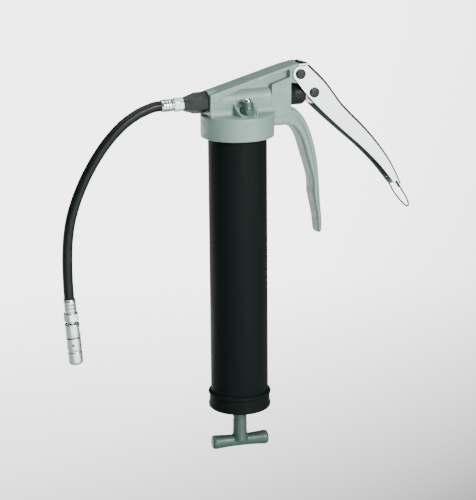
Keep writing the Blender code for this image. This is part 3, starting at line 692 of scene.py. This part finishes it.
def make_studio():
    """Pale glowing floor, a dim surround that darkens overhead, and two soft lights."""
    low = (-FLOOR_HALF, -FLOOR_HALF, FLOOR_TOP - FLOOR_THICK)
    floor = solid("floor", box_shape(low, (FLOOR_HALF, FLOOR_HALF, FLOOR_TOP)))
    floor.data.transform(Matrix.Scale(MM, 4))
    floor.data.materials.append(floor_look())
    world = bpy.data.worlds.new("studio")
    bpy.context.scene.world = world
    world.use_nodes = True
    tree = world.node_tree
    place = tree.nodes.new("ShaderNodeTexCoord")
    split = tree.nodes.new("ShaderNodeSeparateXYZ")
    ramp = tree.nodes.new("ShaderNodeValToRGB")
    tree.links.new(place.outputs["Generated"], split.inputs["Vector"])
    tree.links.new(split.outputs["Z"], ramp.inputs["Fac"])
    tree.links.new(ramp.outputs["Color"], tree.nodes["Background"].inputs["Color"])
    stops = ramp.color_ramp.elements
    stops[0].position, stops[0].color = 0.0, (0.9, 0.92, 0.92, 1.0)
    stops[1].position, stops[1].color = 0.6, (0.2, 0.21, 0.21, 1.0)
    middle = stops.new(0.2)
    middle.color = (0.3, 0.32, 0.32, 1.0)
    tree.nodes["Background"].inputs["Strength"].default_value = 0.2
    area_light("key", (0.45, -2.3, 1.1), (0, 0, 0.06), 0.8, 118)
    area_light("top", (-0.2, 0.1, 2.3), (0, 0, 0.1), 2.2, 62)


def floor_look():
    """White floor whose glow grows with the distance from the gun, less so to its two sides."""
    look = Shader("floor", (0.4, 0.4, 0.4), 0.9, 0.0)
    look.paint(look.mix(look.noise(3, 2.0), (0.39, 0.39, 0.39), (0.41, 0.41, 0.41)))
    length = look.measure("LENGTH", look.place)
    split = look.add("SeparateXYZ")
    look.link(look.measure("NORMALIZE", look.place), split.inputs["Vector"])
    away = look.remap(length, 0.5, 1.9, 0.22, 1.0)
    sideways = look.math("ABSOLUTE", split.outputs["Y"])
    share = look.remap(sideways, 0.5, 0.85, 0.12, 1.0)
    strong = look.remap(look.math("MULTIPLY", away, share), 0.0, 1.0, 0.0, FLOOR_GLOW)
    look.main.inputs["Emission Color"].default_value = (1.0, 1.0, 1.0, 1.0)
    look.link(strong, look.main.inputs["Emission Strength"])
    return look.made


# ---- hose and coupler


def build_hose():
    """Rubber hose along its route, with a short straight at each end."""
    route = [(x, 0, z) for x, z in HOSE_ROUTE]
    points = even_points(curve_through(route, 24), 4.0)
    down = coupler_frame().to_3x3() @ Vector((0, 0, 1))
    points.insert(1, points[0] + Vector((-STRAIGHT / 2, 0, 0)))
    points.insert(-1, points[-1] - STRAIGHT / 2 * down)
    curve = bpy.data.curves.new("hose_fine", "CURVE")
    curve.dimensions = "3D"
    curve.bevel_depth = HOSE_R * MM
    curve.bevel_resolution = 10
    curve.use_fill_caps = True
    spline = curve.splines.new("POLY")
    spline.points.add(len(points) - 1)
    for target, point in zip(spline.points, points):
        target.co = (*(point * MM), 1.0)
    spline.use_smooth = True
    curve.materials.append(LOOKS["rubber"])
    hose = new_object("hose_fine", curve)
    length = sum((b - a).length for a, b in zip(points, points[1:])) * MM
    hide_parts("hose")
    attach(hose, "head")
    return hose, points[0] * MM, length


def ferrule_profile(end, nut, corner, tip):
    """Crimped sleeve with a rolled mouth and three crimp rings, then a hex from nut to tip.
    Heights run from the hose's end; corner is the hex's radius over its corners."""
    profile = [(1.5, end), (5.25, end), (5.6, end + 0.25), (5.75, end + 0.7), (5.55, end + 1.2)]
    step = (nut - end - 3.2) / 3
    for k in range(3):
        low = end + 1.5 + k * step
        high = low + step
        profile += [(5.85, low + 0.25), (5.95, low + 0.6), (5.95, high - 0.9), (5.75, high - 0.4)]
    profile += [(5.75, nut - 1.3), (5.2, nut - 0.8), (5.2, nut - 0.1)]
    inside = corner - 0.7
    soft = corner - 0.35
    wide = corner - 0.08
    profile += [(inside, nut), (corner, nut + 0.25, HEX, soft), (corner, nut + 0.8, HEX, wide)]
    profile += [(corner, tip - 0.8, HEX, wide), (corner, tip - 0.25, HEX, soft), (inside, tip)]
    return profile


def build_gun_ferrule():
    """Ferrule at the gun end."""
    start = NOSE_X - NUT_LENGTH - GAP
    end = HOSE_START[0] + GAP - start
    profile = ferrule_profile(end, -9.4, 6.9, 0.0)
    profile += [(3.3, 0.0), (3.3, 7.6), (2.9, 8.0), (1.5, 8.0)]
    ferrule = solid("hose_ferrule_gun", turned(profile, 96, hollow=True), along_x(start))
    return publish(ferrule, "hose_ferrule_gun", sharp=30)


def build_coupler_ferrule():
    """Ferrule at the coupler end, with a threaded neck."""
    profile = ferrule_profile(GAP, 14.4, 7.4, 21.6)
    profile += [(5.2, 21.6), (5.2, 22.4), (4.7, 22.9), (4.7, 23.4), (3.3, 23.8), (3.3, 31.6), (1.5, 31.6)]
    ferrule = solid("hose_ferrule_coupler", turned(profile, 96, hollow=True), coupler_frame())
    return publish(ferrule, "hose_ferrule_coupler", sharp=30)


def build_coupler():
    """Coupler body with two spanner flats, and its sleeve with a grip groove, a hole and a rolled mouth."""
    where = coupler_frame()
    body = [(3.6, 24.6), (6.3, 24.6), (7.2, 25.4), (7.2, 37.4), (6.9, 38.1), (5.5, 38.5), (5.5, 44.0)]
    body += [(1.6, 44.0), (1.6, 32.2), (3.6, 32.2)]
    core = solid("coupler_body", turned(soft_profile(body, 0.35), 96, hollow=True), where)
    flats = []
    for side in (-1, 1):
        x0, x1 = sorted((side * 6.55, side * 9.0))
        flats.append(solid("flat", box_shape((x0, -9, 27.6), (x1, 9, 35.0)), where @ spin(25)))
    cut(core, *flats)
    publish(core, "coupler_body", look="zinc", sharp=30)
    sleeve = [(5.9, 38.8), (6.9, 38.8), (7.15, 39.2), (7.15, 50.8), (6.75, 51.3), (6.75, 52.6), (7.15, 53.1)]
    sleeve += [(7.15, 62.6), (6.7, 64.3), (6.0, 65.2), (5.3, 65.3), (5.3, 63.0), (5.9, 62.2)]
    outer = solid("coupler_sleeve", turned(soft_profile(sleeve, 0.35), 96, hollow=True), where)
    hole = rod_shape(1.1, -10, 10, 32, 0.05)
    cut(outer, solid("hole", hole, where @ spin(-65) @ Matrix.Translation((0, 0, 45.0)) @ spin(90, "Y")))
    return [core, publish(outer, "coupler_sleeve", look="zinc", sharp=30)]


# Jaw: height down the coupler, inner and outer radius
JAW_STEPS = [(54.3, 4.1, 5.6), (61.4, 4.1, 5.6), (61.9, 3.8, 5.05), (64.1, 3.8, 5.0), (64.4, 4.2, 4.8)]


def build_jaws():
    """Jaws with a stepped nose."""
    where = coupler_frame()
    jaws = []
    for number in range(3):
        start = 120.0 * number + 6.0
        end = 120.0 * number + 114.0
        sections = []
        for height, inner, outer in JAW_STEPS:
            ring = arc((0, 0), outer, start, end, 20) + arc((0, 0), inner, end, start, 20)
            sections.append([(x, y, height) for x, y in ring])
        jaw = solid("jaw", loft(sections), where)
        jaws.append(publish(jaw, f"coupler_jaw_{number + 1}", sharp=30))
    return jaws


# ---- barrel, cap, rod and handle


def build_barrel():
    """Drawn tube with rounded rims."""
    wall = BARREL_R - BARREL_WALL
    profile = [(wall, BARREL_BOTTOM), (BARREL_R, BARREL_BOTTOM), (BARREL_R, BARREL_TOP), (wall, BARREL_TOP)]
    tube = solid("barrel_tube", turned(soft_profile(profile, 0.6), 192, hollow=True))
    publish(tube, "barrel_tube", sharp=50)


def build_end_cap():
    """Pressed cap: rolled bead, waist, shallow groove, bulge with a soft corner, and a rim round the rod."""
    inner = BARREL_R + GAP
    profile = [(inner, CAP_TOP - 0.6), (inner + 0.3, CAP_TOP)]
    profile += arc((CAP_BEAD_R - 2.4, CAP_TOP - 2.6), 2.4, 72, -72, 16)
    profile += [(CAP_SKIN_R, CAP_TOP - 6.6), (CAP_SKIN_R + 0.15, CAP_TOP - 9.2)]
    profile += [(CAP_SKIN_R + 0.05, CAP_TOP - 10.2), (CAP_SKIN_R + 0.2, CAP_TOP - 11.4)]
    profile += [(CAP_BULGE_R, CAP_TOP - 14.2)]
    profile += arc((CAP_BULGE_R - 2.8, CAP_BOTTOM + 2.8), 2.8, 0, -90, 12)
    profile += [(22.0, CAP_BOTTOM), (20.6, CAP_BOTTOM + 0.35), (ROD_R + 1.0, CAP_BOTTOM + 0.35)]
    profile += [(ROD_R + 0.6, CAP_BOTTOM + 0.6), (ROD_R + 0.6, CAP_BOTTOM + 1.3), (inner, CAP_BOTTOM + 1.3)]
    cap = solid("end_cap", turned(profile, 192, hollow=True))
    publish(cap, "end_cap", sharp=38)


def handle_pin_frame():
    """Matrix that lays the roll pin across the neck, in line with the handle's bar."""
    turn = Matrix.Rotation(HANDLE_TURN, 4, "Z") @ spin(90, "Y")
    return Matrix.Translation((0, 0, HANDLE_PIN_Z)) @ turn


def build_handle():
    """Cast T handle: waisted bar, rounded ends, a neck that swells into it."""
    half = HANDLE_LENGTH / 2
    side = [(HANDLE_WAIST_R, 0.0), (HANDLE_WAIST_R, 8.0), (HANDLE_WAIST_R + 0.35, 15.0)]
    side += [(HANDLE_END_R - 0.2, 22.5), (HANDLE_END_R, 26.0)]
    side += arc((HANDLE_END_R - 2.6, half - 2.4), 2.4, 0, 90, 8)
    profile = [(0, -half)] + [(r, -z) for r, z in side[::-1]] + side[1:] + [(0, half)]
    turn = Matrix.Translation((0, 0, HANDLE_Z)) @ Matrix.Rotation(HANDLE_TURN, 4, "Z")
    bar = solid("t_handle", turned(profile, 64), turn @ spin(90, "Y"))
    top = CAP_BOTTOM - GAP
    neck = [(0, HANDLE_Z), (HANDLE_NECK_R + 2.0, HANDLE_Z + 1.0), (HANDLE_NECK_R + 1.0, HANDLE_Z + 5.4)]
    neck += [(HANDLE_NECK_R + 0.2, HANDLE_Z + 8.4), (HANDLE_NECK_R, HANDLE_Z + 12.0)]
    neck += [(HANDLE_NECK_R - 0.1, top - 0.6), (HANDLE_NECK_R - 0.6, top), (0, top)]
    join(bar, solid("neck", turned(neck, 64)))
    recast(bar, 0.45, 9)
    cut(bar, solid("bore", rod_shape(ROD_R + GAP, HANDLE_Z + 5.0, top + 3, 48)))
    cut(bar, solid("hole", rod_shape(1.8, -12, 12, 32), handle_pin_frame()))
    publish(bar, "t_handle", sharp=45)
    reach = HANDLE_NECK_R - 0.2
    pin = solid("pin", rod_shape(1.5, -reach, reach, 32, 0.35), handle_pin_frame())
    publish(pin, "t_handle_pin")


# ---- head casting


def pump_body_shape():
    """Body round the pump: a half-round top, upright flanks and a foot that flares onto the collar."""
    top = arc((0, PUMP_Z), PUMP_HALF, 0, 180, 40)
    flank = [(PUMP_HALF, PUMP_Z - 8.0), (PUMP_HALF + 0.3, PUMP_Z - 9.6), (PUMP_HALF + 0.8, PUMP_Z - 11.2)]
    flank += [(PUMP_HALF + 1.5, PUMP_Z - 12.5), (PUMP_HALF + 2.1, PUMP_Z - 13.3)]
    flank += [(PUMP_HALF + 2.1, COLLAR_TOP - 2.0)]
    left = [(-y, z) for y, z in flank]
    return slab(top + left + flank[::-1], NOSE_X, REAR_X - 18.0, "X")


def flange_outline():
    """Side outline of the top flange, thicker at the nose."""
    top = [(NOSE_X, 164.5), (NOSE_X, 171.6), (48.0, 192.2), (53.2, 193.3)]
    return top + [(53.2, 189.9), (47.6, 189.2), (-17.7, 169.7), (-25.0, 164.5)]


def web_outline():
    """Side outline of the thin web between the flange and the pump body, the floor of both pockets."""
    return [(-20.0, 168.0), (10.0, 180.0), (52.0, 191.5), (52.0, 172.0), (-20.0, 164.0)]


def rear_outline():
    """Side outline of the rear block, its lower chord and the strip that closes the pocket."""
    return [
        (31.5, COLLAR_TOP - 3.0),
        (31.5, 176.4),
        (50.8, 182.2),
        (50.8, 192.0),
        (53.2, 192.6),
        (53.2, 177.4),
        (REAR_X, 176.4),
        (REAR_X, COLLAR_TOP - 3.0),
    ]


def tip_outline():
    """Side outline of the arm's tip, narrower so that the lever's plates straddle it."""
    tip = arc(PIVOT, 9.6, 84, -96, 32)
    return [(51.5, 192.9), (56.0, 194.0)] + tip + [(53.0, 176.6), (51.5, 176.9)]


def u_outline(radius):
    """Plan outline of the bleed boss: straight from the flank, then half round."""
    round_end = arc((BLEED_X, BLEED_Y), radius, 0, -180, 32)
    return [(BLEED_X + radius, -PUMP_HALF + 2)] + round_end + [(BLEED_X - radius, -PUMP_HALF + 2)]


def bleed_boss():
    """Boss on the near flank with a sloping face and a raised U-shaped lip, for the bleed valve."""
    flank = -PUMP_HALF
    far = BLEED_Y - 2 * BLEED_LIP
    root = COLLAR_TOP - 2.0
    top = BLEED_FACE_TOP
    foot = top - (flank - far) * BLEED_SLOPE
    boss = solid("boss", slab(u_outline(BLEED_LIP), root, top, "Z"))
    above = [(flank, top), (far, foot), (far, top + 9), (flank, top + 9)]
    cut(boss, solid("slope", slab(above, BLEED_X - 14, BLEED_X + 14, "X")))
    recess = solid("recess", slab(u_outline(BLEED_LIP - LIP_WALL), root, top + 4, "Z"))
    behind = flank + 9
    below = [(behind, top + 9 * BLEED_SLOPE - LIP_RISE), (far, foot - LIP_RISE), (far, 130), (behind, 130)]
    cut(recess, solid("below", slab(below, BLEED_X - 14, BLEED_X + 14, "X")))
    cut(boss, recess)
    seat = solid("seat", bore_shape(7.4, BLEED_SEAT, 175), bleed_frame())
    return cut(boss, seat)


# Grip stations: inner edge, outer edge (both x, z), half width of the finger plate, half width of the rib
GRIP_STATIONS = [
    (30.0, 135.4, 31.0, 153.0, 12.0, 12.0),
    (40.0, 135.2, 42.0, 153.2, 12.0, 11.8),
    (48.0, 134.8, 51.5, 152.8, 11.6, 11.0),
    (54.0, 133.0, 59.5, 150.0, 11.3, 10.0),
    (59.6, 128.6, 68.2, 141.0, 11.2, 8.8),
    (64.2, 121.2, 75.0, 129.0, 11.0, 7.2),
    (67.6, 111.8, 80.2, 115.4, 10.8, 6.0),
    (70.0, 103.5, 83.0, 104.8, 10.6, 5.6),
    (74.0, 91.0, 85.2, 91.8, 10.3, 5.4),
    (77.6, 78.0, 86.4, 78.8, 10.1, 5.4),
    (78.3, 70.0, 87.0, 70.0, 10.0, 5.4),
    (78.5, 62.0, 87.6, 62.0, 9.8, 5.3),
    (80.9, 51.0, 88.4, 51.0, 9.3, 5.1),
    (83.4, 38.0, 89.6, 38.0, 8.6, 5.2),
    (84.4, 27.0, 90.0, 27.0, 8.0, 5.0),
    (85.0, 22.4, 89.6, 22.4, 6.8, 4.2),
]


def grip_sections():
    """Rings of the grip: a rounded finger plate towards the barrel with a narrower rib behind it."""
    sections = []
    stations = curve_through(GRIP_STATIONS, 5)
    for x0, z0, x1, z1, wide, narrow in stations:
        half = [(0.0, 0.55 * wide), (0.02, 0.74 * wide), (0.08, 0.9 * wide), (0.18, 0.985 * wide)]
        half += [(0.28, wide), (0.38, 0.985 * wide), (0.46, 0.93 * wide + 0.03 * narrow)]
        half += [(0.52, 0.6 * wide + 0.4 * narrow), (0.58, narrow + 0.5), (0.68, narrow + 0.1)]
        half += [(0.86, narrow), (0.96, 0.86 * narrow), (1.0, 0.55 * narrow)]
        ring = half + [(t, -y) for t, y in half[::-1]]
        sections.append([(x0 + (x1 - x0) * t, y, z0 + (z1 - z0) * t) for t, y in ring])
    return sections


def head_bores():
    """Cutters for the barrel's seat, grease port, pump bore, outlet, gland, pivot pin and bleed valve."""
    return [
        solid("seat", bore_shape(BARREL_R + GAP, COLLAR_BOTTOM - 2.0, COLLAR_CEILING, 96)),
        solid("port", bore_shape(9.0, COLLAR_CEILING - 1, COLLAR_CEILING + 4.5)),
        solid("pump", bore_shape(PLUNGER_R + GAP, NOSE_X + 6, REAR_X - 8), along_x()),
        solid("outlet", bore_shape(8.3, NOSE_X - 2.0, NOSE_X + 13.7), along_x()),
        solid("gland", bore_shape(8.0, REAR_X - 16.3, REAR_X + 3), along_x()),
        solid("pivot", bore_shape(PIN_R + GAP, -20, 20), along_y(*PIVOT)),
        solid("bleed", bore_shape(3.8, 140, 170, 32), bleed_frame()),
    ]


def build_head():
    """Collar, pump body, arm and grip in one casting."""
    collar = [(0, COLLAR_BOTTOM), (COLLAR_R - 0.4, COLLAR_BOTTOM), (COLLAR_R, COLLAR_BOTTOM + 0.4)]
    collar += [(COLLAR_R, COLLAR_TOP - 1.2), (COLLAR_R - 0.4, COLLAR_TOP - 0.4), (COLLAR_R - 1.2, COLLAR_TOP)]
    collar += [(0, COLLAR_TOP)]
    head = solid("head", turned(collar, 160))
    join(head, solid("pump_body", pump_body_shape()))
    join(head, solid("flange", slab(flange_outline(), -HEAD_HALF, HEAD_HALF)))
    join(head, solid("web", slab(web_outline(), -5.2, 5.2)))
    join(head, solid("rear", slab(rear_outline(), -HEAD_HALF, HEAD_HALF)))
    join(head, solid("tip", slab(tip_outline(), -TIP_HALF, TIP_HALF)))
    join(head, bleed_boss())
    join(head, solid("grip", loft(grip_sections())))
    cut(head, *head_bores())
    recast(head, 0.5, 4)
    publish(head, "head_casting", sharp=60)


# ---- pump pieces


def build_outlet_nut():
    """Black adaptor: hexagon with a six-sided taper towards the hose."""
    corner = 18.0 / math.sqrt(3)
    socket = 8.4 - NUT_LENGTH
    outside = [(3.6, -NUT_LENGTH), (6.2, -NUT_LENGTH), (6.8, 0.7 - NUT_LENGTH, HEX)]
    outside += [(corner, -NUT_HEX, HEX), (corner, -1.9, HEX), (corner, -1.3, HEX, corner - 0.35)]
    outside += [(10.2, -1.0), (10.4, -0.8), (10.4, -GAP), (8.0, -GAP), (8.0, 12.8), (7.4, 13.4)]
    inside = [(2.0, 13.4), (2.0, 11.0), (3.9, 11.0), (3.9, -7.0), (1.8, -7.0), (1.8, socket), (3.6, socket)]
    nut = solid("outlet_nut", turned(outside + inside, 96, hollow=True), along_x(NOSE_X))
    round_edges(nut, 0.25, 2, 28)
    publish(nut, "outlet_nut", sharp=35)


def build_boot():
    """Smooth boot with a lip at its root, and the return spring inside it."""
    start = REAR_X + GAP
    inner = BOOT_R - 2.2
    bore = PLUNGER_R + GAP
    outer = [(8.2, start), (10.7, start), (BOOT_R, start + 0.4), (BOOT_R, start + 1.8)]
    outer += [(BOOT_R - 0.35, start + 2.4), (BOOT_R - 0.3, start + 6.0), (BOOT_R - 0.05, BOOT_END - 4.5)]
    outer += [(BOOT_R - 0.15, BOOT_END - 2.6), (BOOT_R - 0.5, BOOT_END - 1.4), (BOOT_R - 1.3, BOOT_END - 0.5)]
    outer += [(BOOT_R - 2.6, BOOT_END - 0.05), (PLUNGER_R + 1.6, BOOT_END - 0.05), (bore, BOOT_END)]
    outer += [(bore, BOOT_END - 2.0), (inner, BOOT_END - 2.0), (inner, start + 2.0), (8.2, start + 2.0)]
    boot = solid("plunger_boot", turned(outer, 96, hollow=True), along_x())
    publish(boot, "plunger_boot", sharp=50)
    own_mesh(boot)
    points = helix(7.0, REAR_X + 2.5, BOOT_END - 3.4, 5, 40, 1.0, 1.5)
    spring = solid("return_spring", wire(points, 0.6), along_x())
    publish(spring, "return_spring")
    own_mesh(spring)


def build_hidden_springs():
    """Follower, bleed valve and check valve springs, each with a mesh of its own."""
    low = CAP_BOTTOM + 2.6
    spring = solid("follower_spring", wire(helix(22.0, low, 107.7, 12, 40, 1.0, 2.6), 1.0, 10))
    publish(spring, "follower_spring")
    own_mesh(spring)
    spring = solid("bleed_spring", wire(helix(2.3, 152.7, 155.2, 3, 24, 0.5, 0.9), 0.3, 8), bleed_frame())
    publish(spring, "bleed_spring")
    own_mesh(spring)
    spring = solid("check_spring", wire(helix(2.9, -6.3, 5.8, 5, 24, 1.0, 1.1), 0.4, 8), along_x(NOSE_X))
    publish(spring, "check_spring")
    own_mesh(spring)


def build_plunger():
    """Plunger with a slotted eye for the drive pin."""
    plunger = solid("plunger", rod_shape(PLUNGER_R, PLUNGER_FRONT, 71.5, 64, 0.6), along_x())
    middle = PUMP_Z - 0.5
    eye = arc((DRIVE[0], middle + 2.6), 6.4, 0, 180, 32) + arc((DRIVE[0], middle - 2.6), 6.4, 180, 360, 32)
    join(plunger, solid("eye", slab(eye, -8.0, 8.0)))
    slot = arc((DRIVE[0], middle + 2.7), PIN_R + 0.4, 0, 180, 24)
    slot += arc((DRIVE[0], middle - 2.7), PIN_R + 0.4, 180, 360, 24)
    cut(plunger, solid("slot", slab(slot, -10, 10)))
    round_edges(plunger, 0.4, 3, 35)
    publish(plunger, "plunger")


def build_bleed_valve():
    """Bleed valve: hex foot, tapering body and a bright domed push button."""
    seat = BLEED_SEAT + GAP
    outside = [(1.0, 145.4), (3.1, 145.4), (3.5, 145.8), (3.5, seat), (6.6, seat)]
    outside += [(7.3, seat + 0.4, HEX, 7.0), (7.3, seat + 0.9, HEX), (7.3, seat + 2.9, HEX)]
    outside += [(7.3, seat + 3.4, HEX, 7.0), (6.5, seat + 3.7), (6.0, seat + 3.8), (6.0, seat + 4.9)]
    outside += [(5.85, seat + 5.4), (5.45, seat + 7.2), (5.3, seat + 7.8), (5.3, seat + 10.3)]
    outside += [(5.1, seat + 10.9), (4.8, seat + 11.2)]
    inside = [(4.1, seat + 11.2), (4.1, seat + 8.6), (1.9, seat + 8.6), (1.9, seat + 5.4), (3.1, seat + 5.4)]
    inside += [(3.1, 152.0), (1.0, 152.0)]
    body = solid("body", turned(outside + inside, 96, hollow=True), bleed_frame())
    publish(body, "bleed_valve_body", look="handle_paint", sharp=35)
    dome = arc((0, seat + 11.3), 3.8, 0, 90, 14)
    profile = [(0, seat + 3.1), (2.6, seat + 3.1), (2.6, seat + 5.1), (1.6, seat + 5.1)]
    profile += [(1.6, seat + 10.9), (3.8, seat + 10.9)] + dome[:-1] + [(0, seat + 15.1)]
    publish(solid("poppet", turned(profile, 64), bleed_frame()), "bleed_poppet", sharp=50)


# ---- lever

LEVER_TOP = [
    (70.0, 194.9),
    (76.3, 188.9),
    (83.8, 181.8),
    (91.6, 173.6),
    (99.2, 163.7),
    (107.9, 152.5),
    (119.3, 140.7),
    (131.2, 129.3),
    (142.9, 116.8),
    (154.4, 103.1),
    (164.5, 89.1),
    (172.2, 75.6),
    (177.2, 64.9),
]
LEVER_BOTTOM = [
    (172.4, 60.6),
    (164.1, 71.3),
    (154.1, 83.3),
    (142.4, 95.5),
    (129.6, 107.6),
    (116.6, 118.8),
    (104.2, 129.7),
    (92.0, 140.7),
    (81.4, 150.9),
    (72.1, 160.3),
    (64.2, 169.1),
]


def lever_half(x):
    """Half width of the channel: parallel at the pivot, narrowing to the tip."""
    share = min(max((x - TAPER_START) / (TAPER_END - TAPER_START), 0.0), 1.0)
    return LEVER_HALF + (LEVER_TIP_HALF - LEVER_HALF) * share


def taper(mesh):
    """Bring the sides of the straight channel together towards the tip, keeping the sheet's thickness."""
    bm = bmesh.new()
    bm.from_mesh(mesh)
    for x in range(int(TAPER_START), int(TAPER_END), 8):
        everything = list(bm.verts) + list(bm.edges) + list(bm.faces)
        bmesh.ops.bisect_plane(bm, geom=everything, plane_co=(x, 0, 0), plane_no=(1, 0, 0))
    for vert in bm.verts:
        inset = LEVER_HALF - abs(vert.co.y)
        vert.co.y = math.copysign(lever_half(vert.co.x) - inset, vert.co.y)
    bm.to_mesh(mesh)
    bm.free()


def offset_inwards(points, distance):
    """Shift an open line of points to its right-hand side, seen along the line."""
    moved = []
    for k, point in enumerate(points):
        ahead = Vector(points[min(k + 1, len(points) - 1)])
        behind = Vector(points[max(k - 1, 0)])
        direction = (ahead - behind).normalized()
        moved.append((point[0] + direction.y * distance, point[1] - direction.x * distance))
    return moved


def pressed(line, rest, half, bend):
    """A solid across the channel whose edges along the line are bent round."""
    places = []
    for k in range(9):
        a = math.radians(90 * k / 8)
        places.append((-half + bend * (1 - math.cos(a)), bend * (1 - math.sin(a))))
    mirrored = [(-y, drop) for y, drop in places[::-1]]
    rings = []
    for y, drop in places + mirrored:
        outline = offset_inwards(line, drop) + rest
        rings.append([(x, y, z) for x, z in outline])
    return loft(rings)


def paint_channel_shade(mesh):
    """The inside of the channel gets a very dark dull plating: a duller unpolished finish, darkened far more
    as painted shade.
    """
    mesh.materials.append(LOOKS["dull_plating"])
    for face in mesh.polygons:
        centre = face.center / MM
        inner = lever_half(centre.x) - 0.7 * SHEET
        towards = face.normal.y * centre.y < -0.3 * abs(centre.y)
        below = centre.x > LEVER_TOP[0][0] and face.normal.x < -0.2 and face.normal.z < -0.2
        if abs(centre.y) < inner and (towards or below):
            face.material_index = 1


def flatten_shading(item):
    """Shade the flat faces flat, and keep the smooth turn to the rounded edges."""
    step = item.modifiers.new("even", "WEIGHTED_NORMAL")
    step.keep_sharp = True
    step.weight = 90
    apply_modifiers(item)


def build_lever():
    """Pressed channel lever with rounded bends, ears over the slot, and softened sheet edges."""
    line = [tuple(p) for p in curve_through(LEVER_TOP, 5)]
    under = [tuple(p) for p in curve_through(LEVER_BOTTOM, 5)]
    nose = arc(PIVOT, 7.4, 205, 75, 28)
    tip = [(177.35, 63.4), (177.1, 61.7), (176.4, 60.3), (175.3, 59.6), (174.0, 59.7)]
    lever = solid("lever", pressed(line, tip + under + nose + [(66.4, 191.9)], LEVER_HALF, BEND_R))
    inner = offset_inwards(line, SHEET)
    clear = [(185.0, 40.0), (120.0, 60.0), (40.0, 150.0), (40.0, 205.0), (inner[0][0], 205.0)]
    rest = [(175.6, 63.6), (176.2, 58.0)] + clear
    hollow = pressed(inner[:-5], rest, LEVER_HALF - SHEET, BEND_R - SHEET + 0.3)
    cut(lever, solid("inside", hollow))
    ears = []
    for side in (-1, 1):
        low, high = sorted((side * (LEVER_HALF - SHEET), side * LEVER_HALF))
        ears.append(solid("ear", box_shape((59.6, low, 193.1), (71.3, high, 194.3))))
    join(lever, *ears)
    for radius, sides, centre in ((PIN_R, 48, PIVOT), (PIN_R, 48, DRIVE), (RING_WIRE, 24, RING_HOLE)):
        cut(lever, solid("hole", bore_shape(radius + GAP, -20, 20, sides), along_y(*centre)))
    round_edges(lever, 0.28, 2, 50)
    taper(lever.data)
    publish(lever, "lever", sharp=35)
    # painted shade: the channel's inside faces get the very dark plating
    paint_channel_shade(lever.data)
    flatten_shading(lever)


def build_pin(name, centre):
    """Headed pin across the lever with a shallow domed head, and a groove for its clip."""
    face = LEVER_HALF + GAP
    crown = -face - PIN_HEAD_THICK
    profile = [(0, crown), (2.4, crown + 0.06), (3.6, crown + 0.22), (4.3, crown + 0.5), (4.75, crown + 0.95)]
    profile += [(PIN_HEAD_R, crown + 1.5), (PIN_HEAD_R, -face - 0.15), (PIN_HEAD_R - 0.15, -face)]
    profile += [(PIN_R, -face)]
    profile += [(PIN_R, face), (PIN_R - 0.7, face), (PIN_R - 0.7, face + 1.5), (PIN_R, face + 1.5)]
    profile += [(PIN_R, face + 2.2), (PIN_R - 0.15, face + 2.45), (PIN_R - 0.5, face + 2.7), (0, face + 2.7)]
    publish(solid(name, turned(profile, 64), along_y(*centre)), name, sharp=40)


def build_clip(name, centre):
    """Open retaining clip in a pin's groove."""
    start = LEVER_HALF + GAP + 0.2
    outer = arc((0, 0), 5.2, -140, 140, 48)
    inner = arc((0, 0), PIN_R - 0.7 + GAP, 140, -140, 48)
    clip = solid(name, slab(outer + inner, start, start + 1.0, "Z"), along_y(*centre))
    round_edges(clip, 0.15, 2, 40)
    publish(clip, name)


# Half of the loop: distance from the holes towards its round end, and half width
RING_SIDE = [(0.0, 8.1), (0.0, 9.9), (0.5, 11.0), (1.6, 11.45), (9.0, 11.7), (17.0, 12.3), (23.0, 11.4)]
RING_BOW = [(28.0, 9.2), (31.8, 6.2), (34.2, 2.9), (35.0, 0.0)]


def build_lock_ring():
    """Wire loop that straddles the lever's tip, with its ends turned in through the plates."""
    hole = Vector((RING_HOLE[0], 0, RING_HOLE[1]))
    along = Vector((RING_END[0] - RING_HOLE[0], 0, RING_END[1] - RING_HOLE[1])).normalized()
    side = RING_SIDE + RING_BOW
    line = curve_through(side + [(d, -y) for d, y in side[:-1][::-1]], 6)
    points = [hole + along * p.x + Vector((0, p.y, 0)) for p in line]
    publish(solid("lock_ring", wire(points, RING_WIRE, 20)), "lock_ring", look="pin_steel", sharp=50)


# ---- everything


def dress_hidden():
    """The CAD nodes that keep their own shape, inside the gun, get their materials."""
    for name, node in frame["nodes"].items():
        if node.hide_render:
            continue
        node.data.materials.clear()
        node.data.materials.append(LOOKS[SLOTS[name]])


def build_all():
    """Camera and hose first, then the pieces from the nose to the handle."""
    make_camera()
    make_studio()
    hose, start, length = build_hose()
    build_gun_ferrule()
    on_hose = [build_coupler_ferrule(), *build_coupler(), *build_jaws()]
    on_hose += [frame["nodes"]["coupler_spring"], frame["nodes"]["coupler_seal"]]
    build_barrel()
    build_end_cap()
    build_handle()
    build_head()
    build_outlet_nut()
    build_boot()
    build_hidden_springs()
    build_plunger()
    build_bleed_valve()
    build_lever()
    for pin, clip, centre in (("pivot_pin", "pivot_clip", PIVOT), ("drive_pin", "drive_clip", DRIVE)):
        build_pin(pin, centre)
        build_clip(clip, centre)
    build_lock_ring()
    dress_hidden()


build_all()
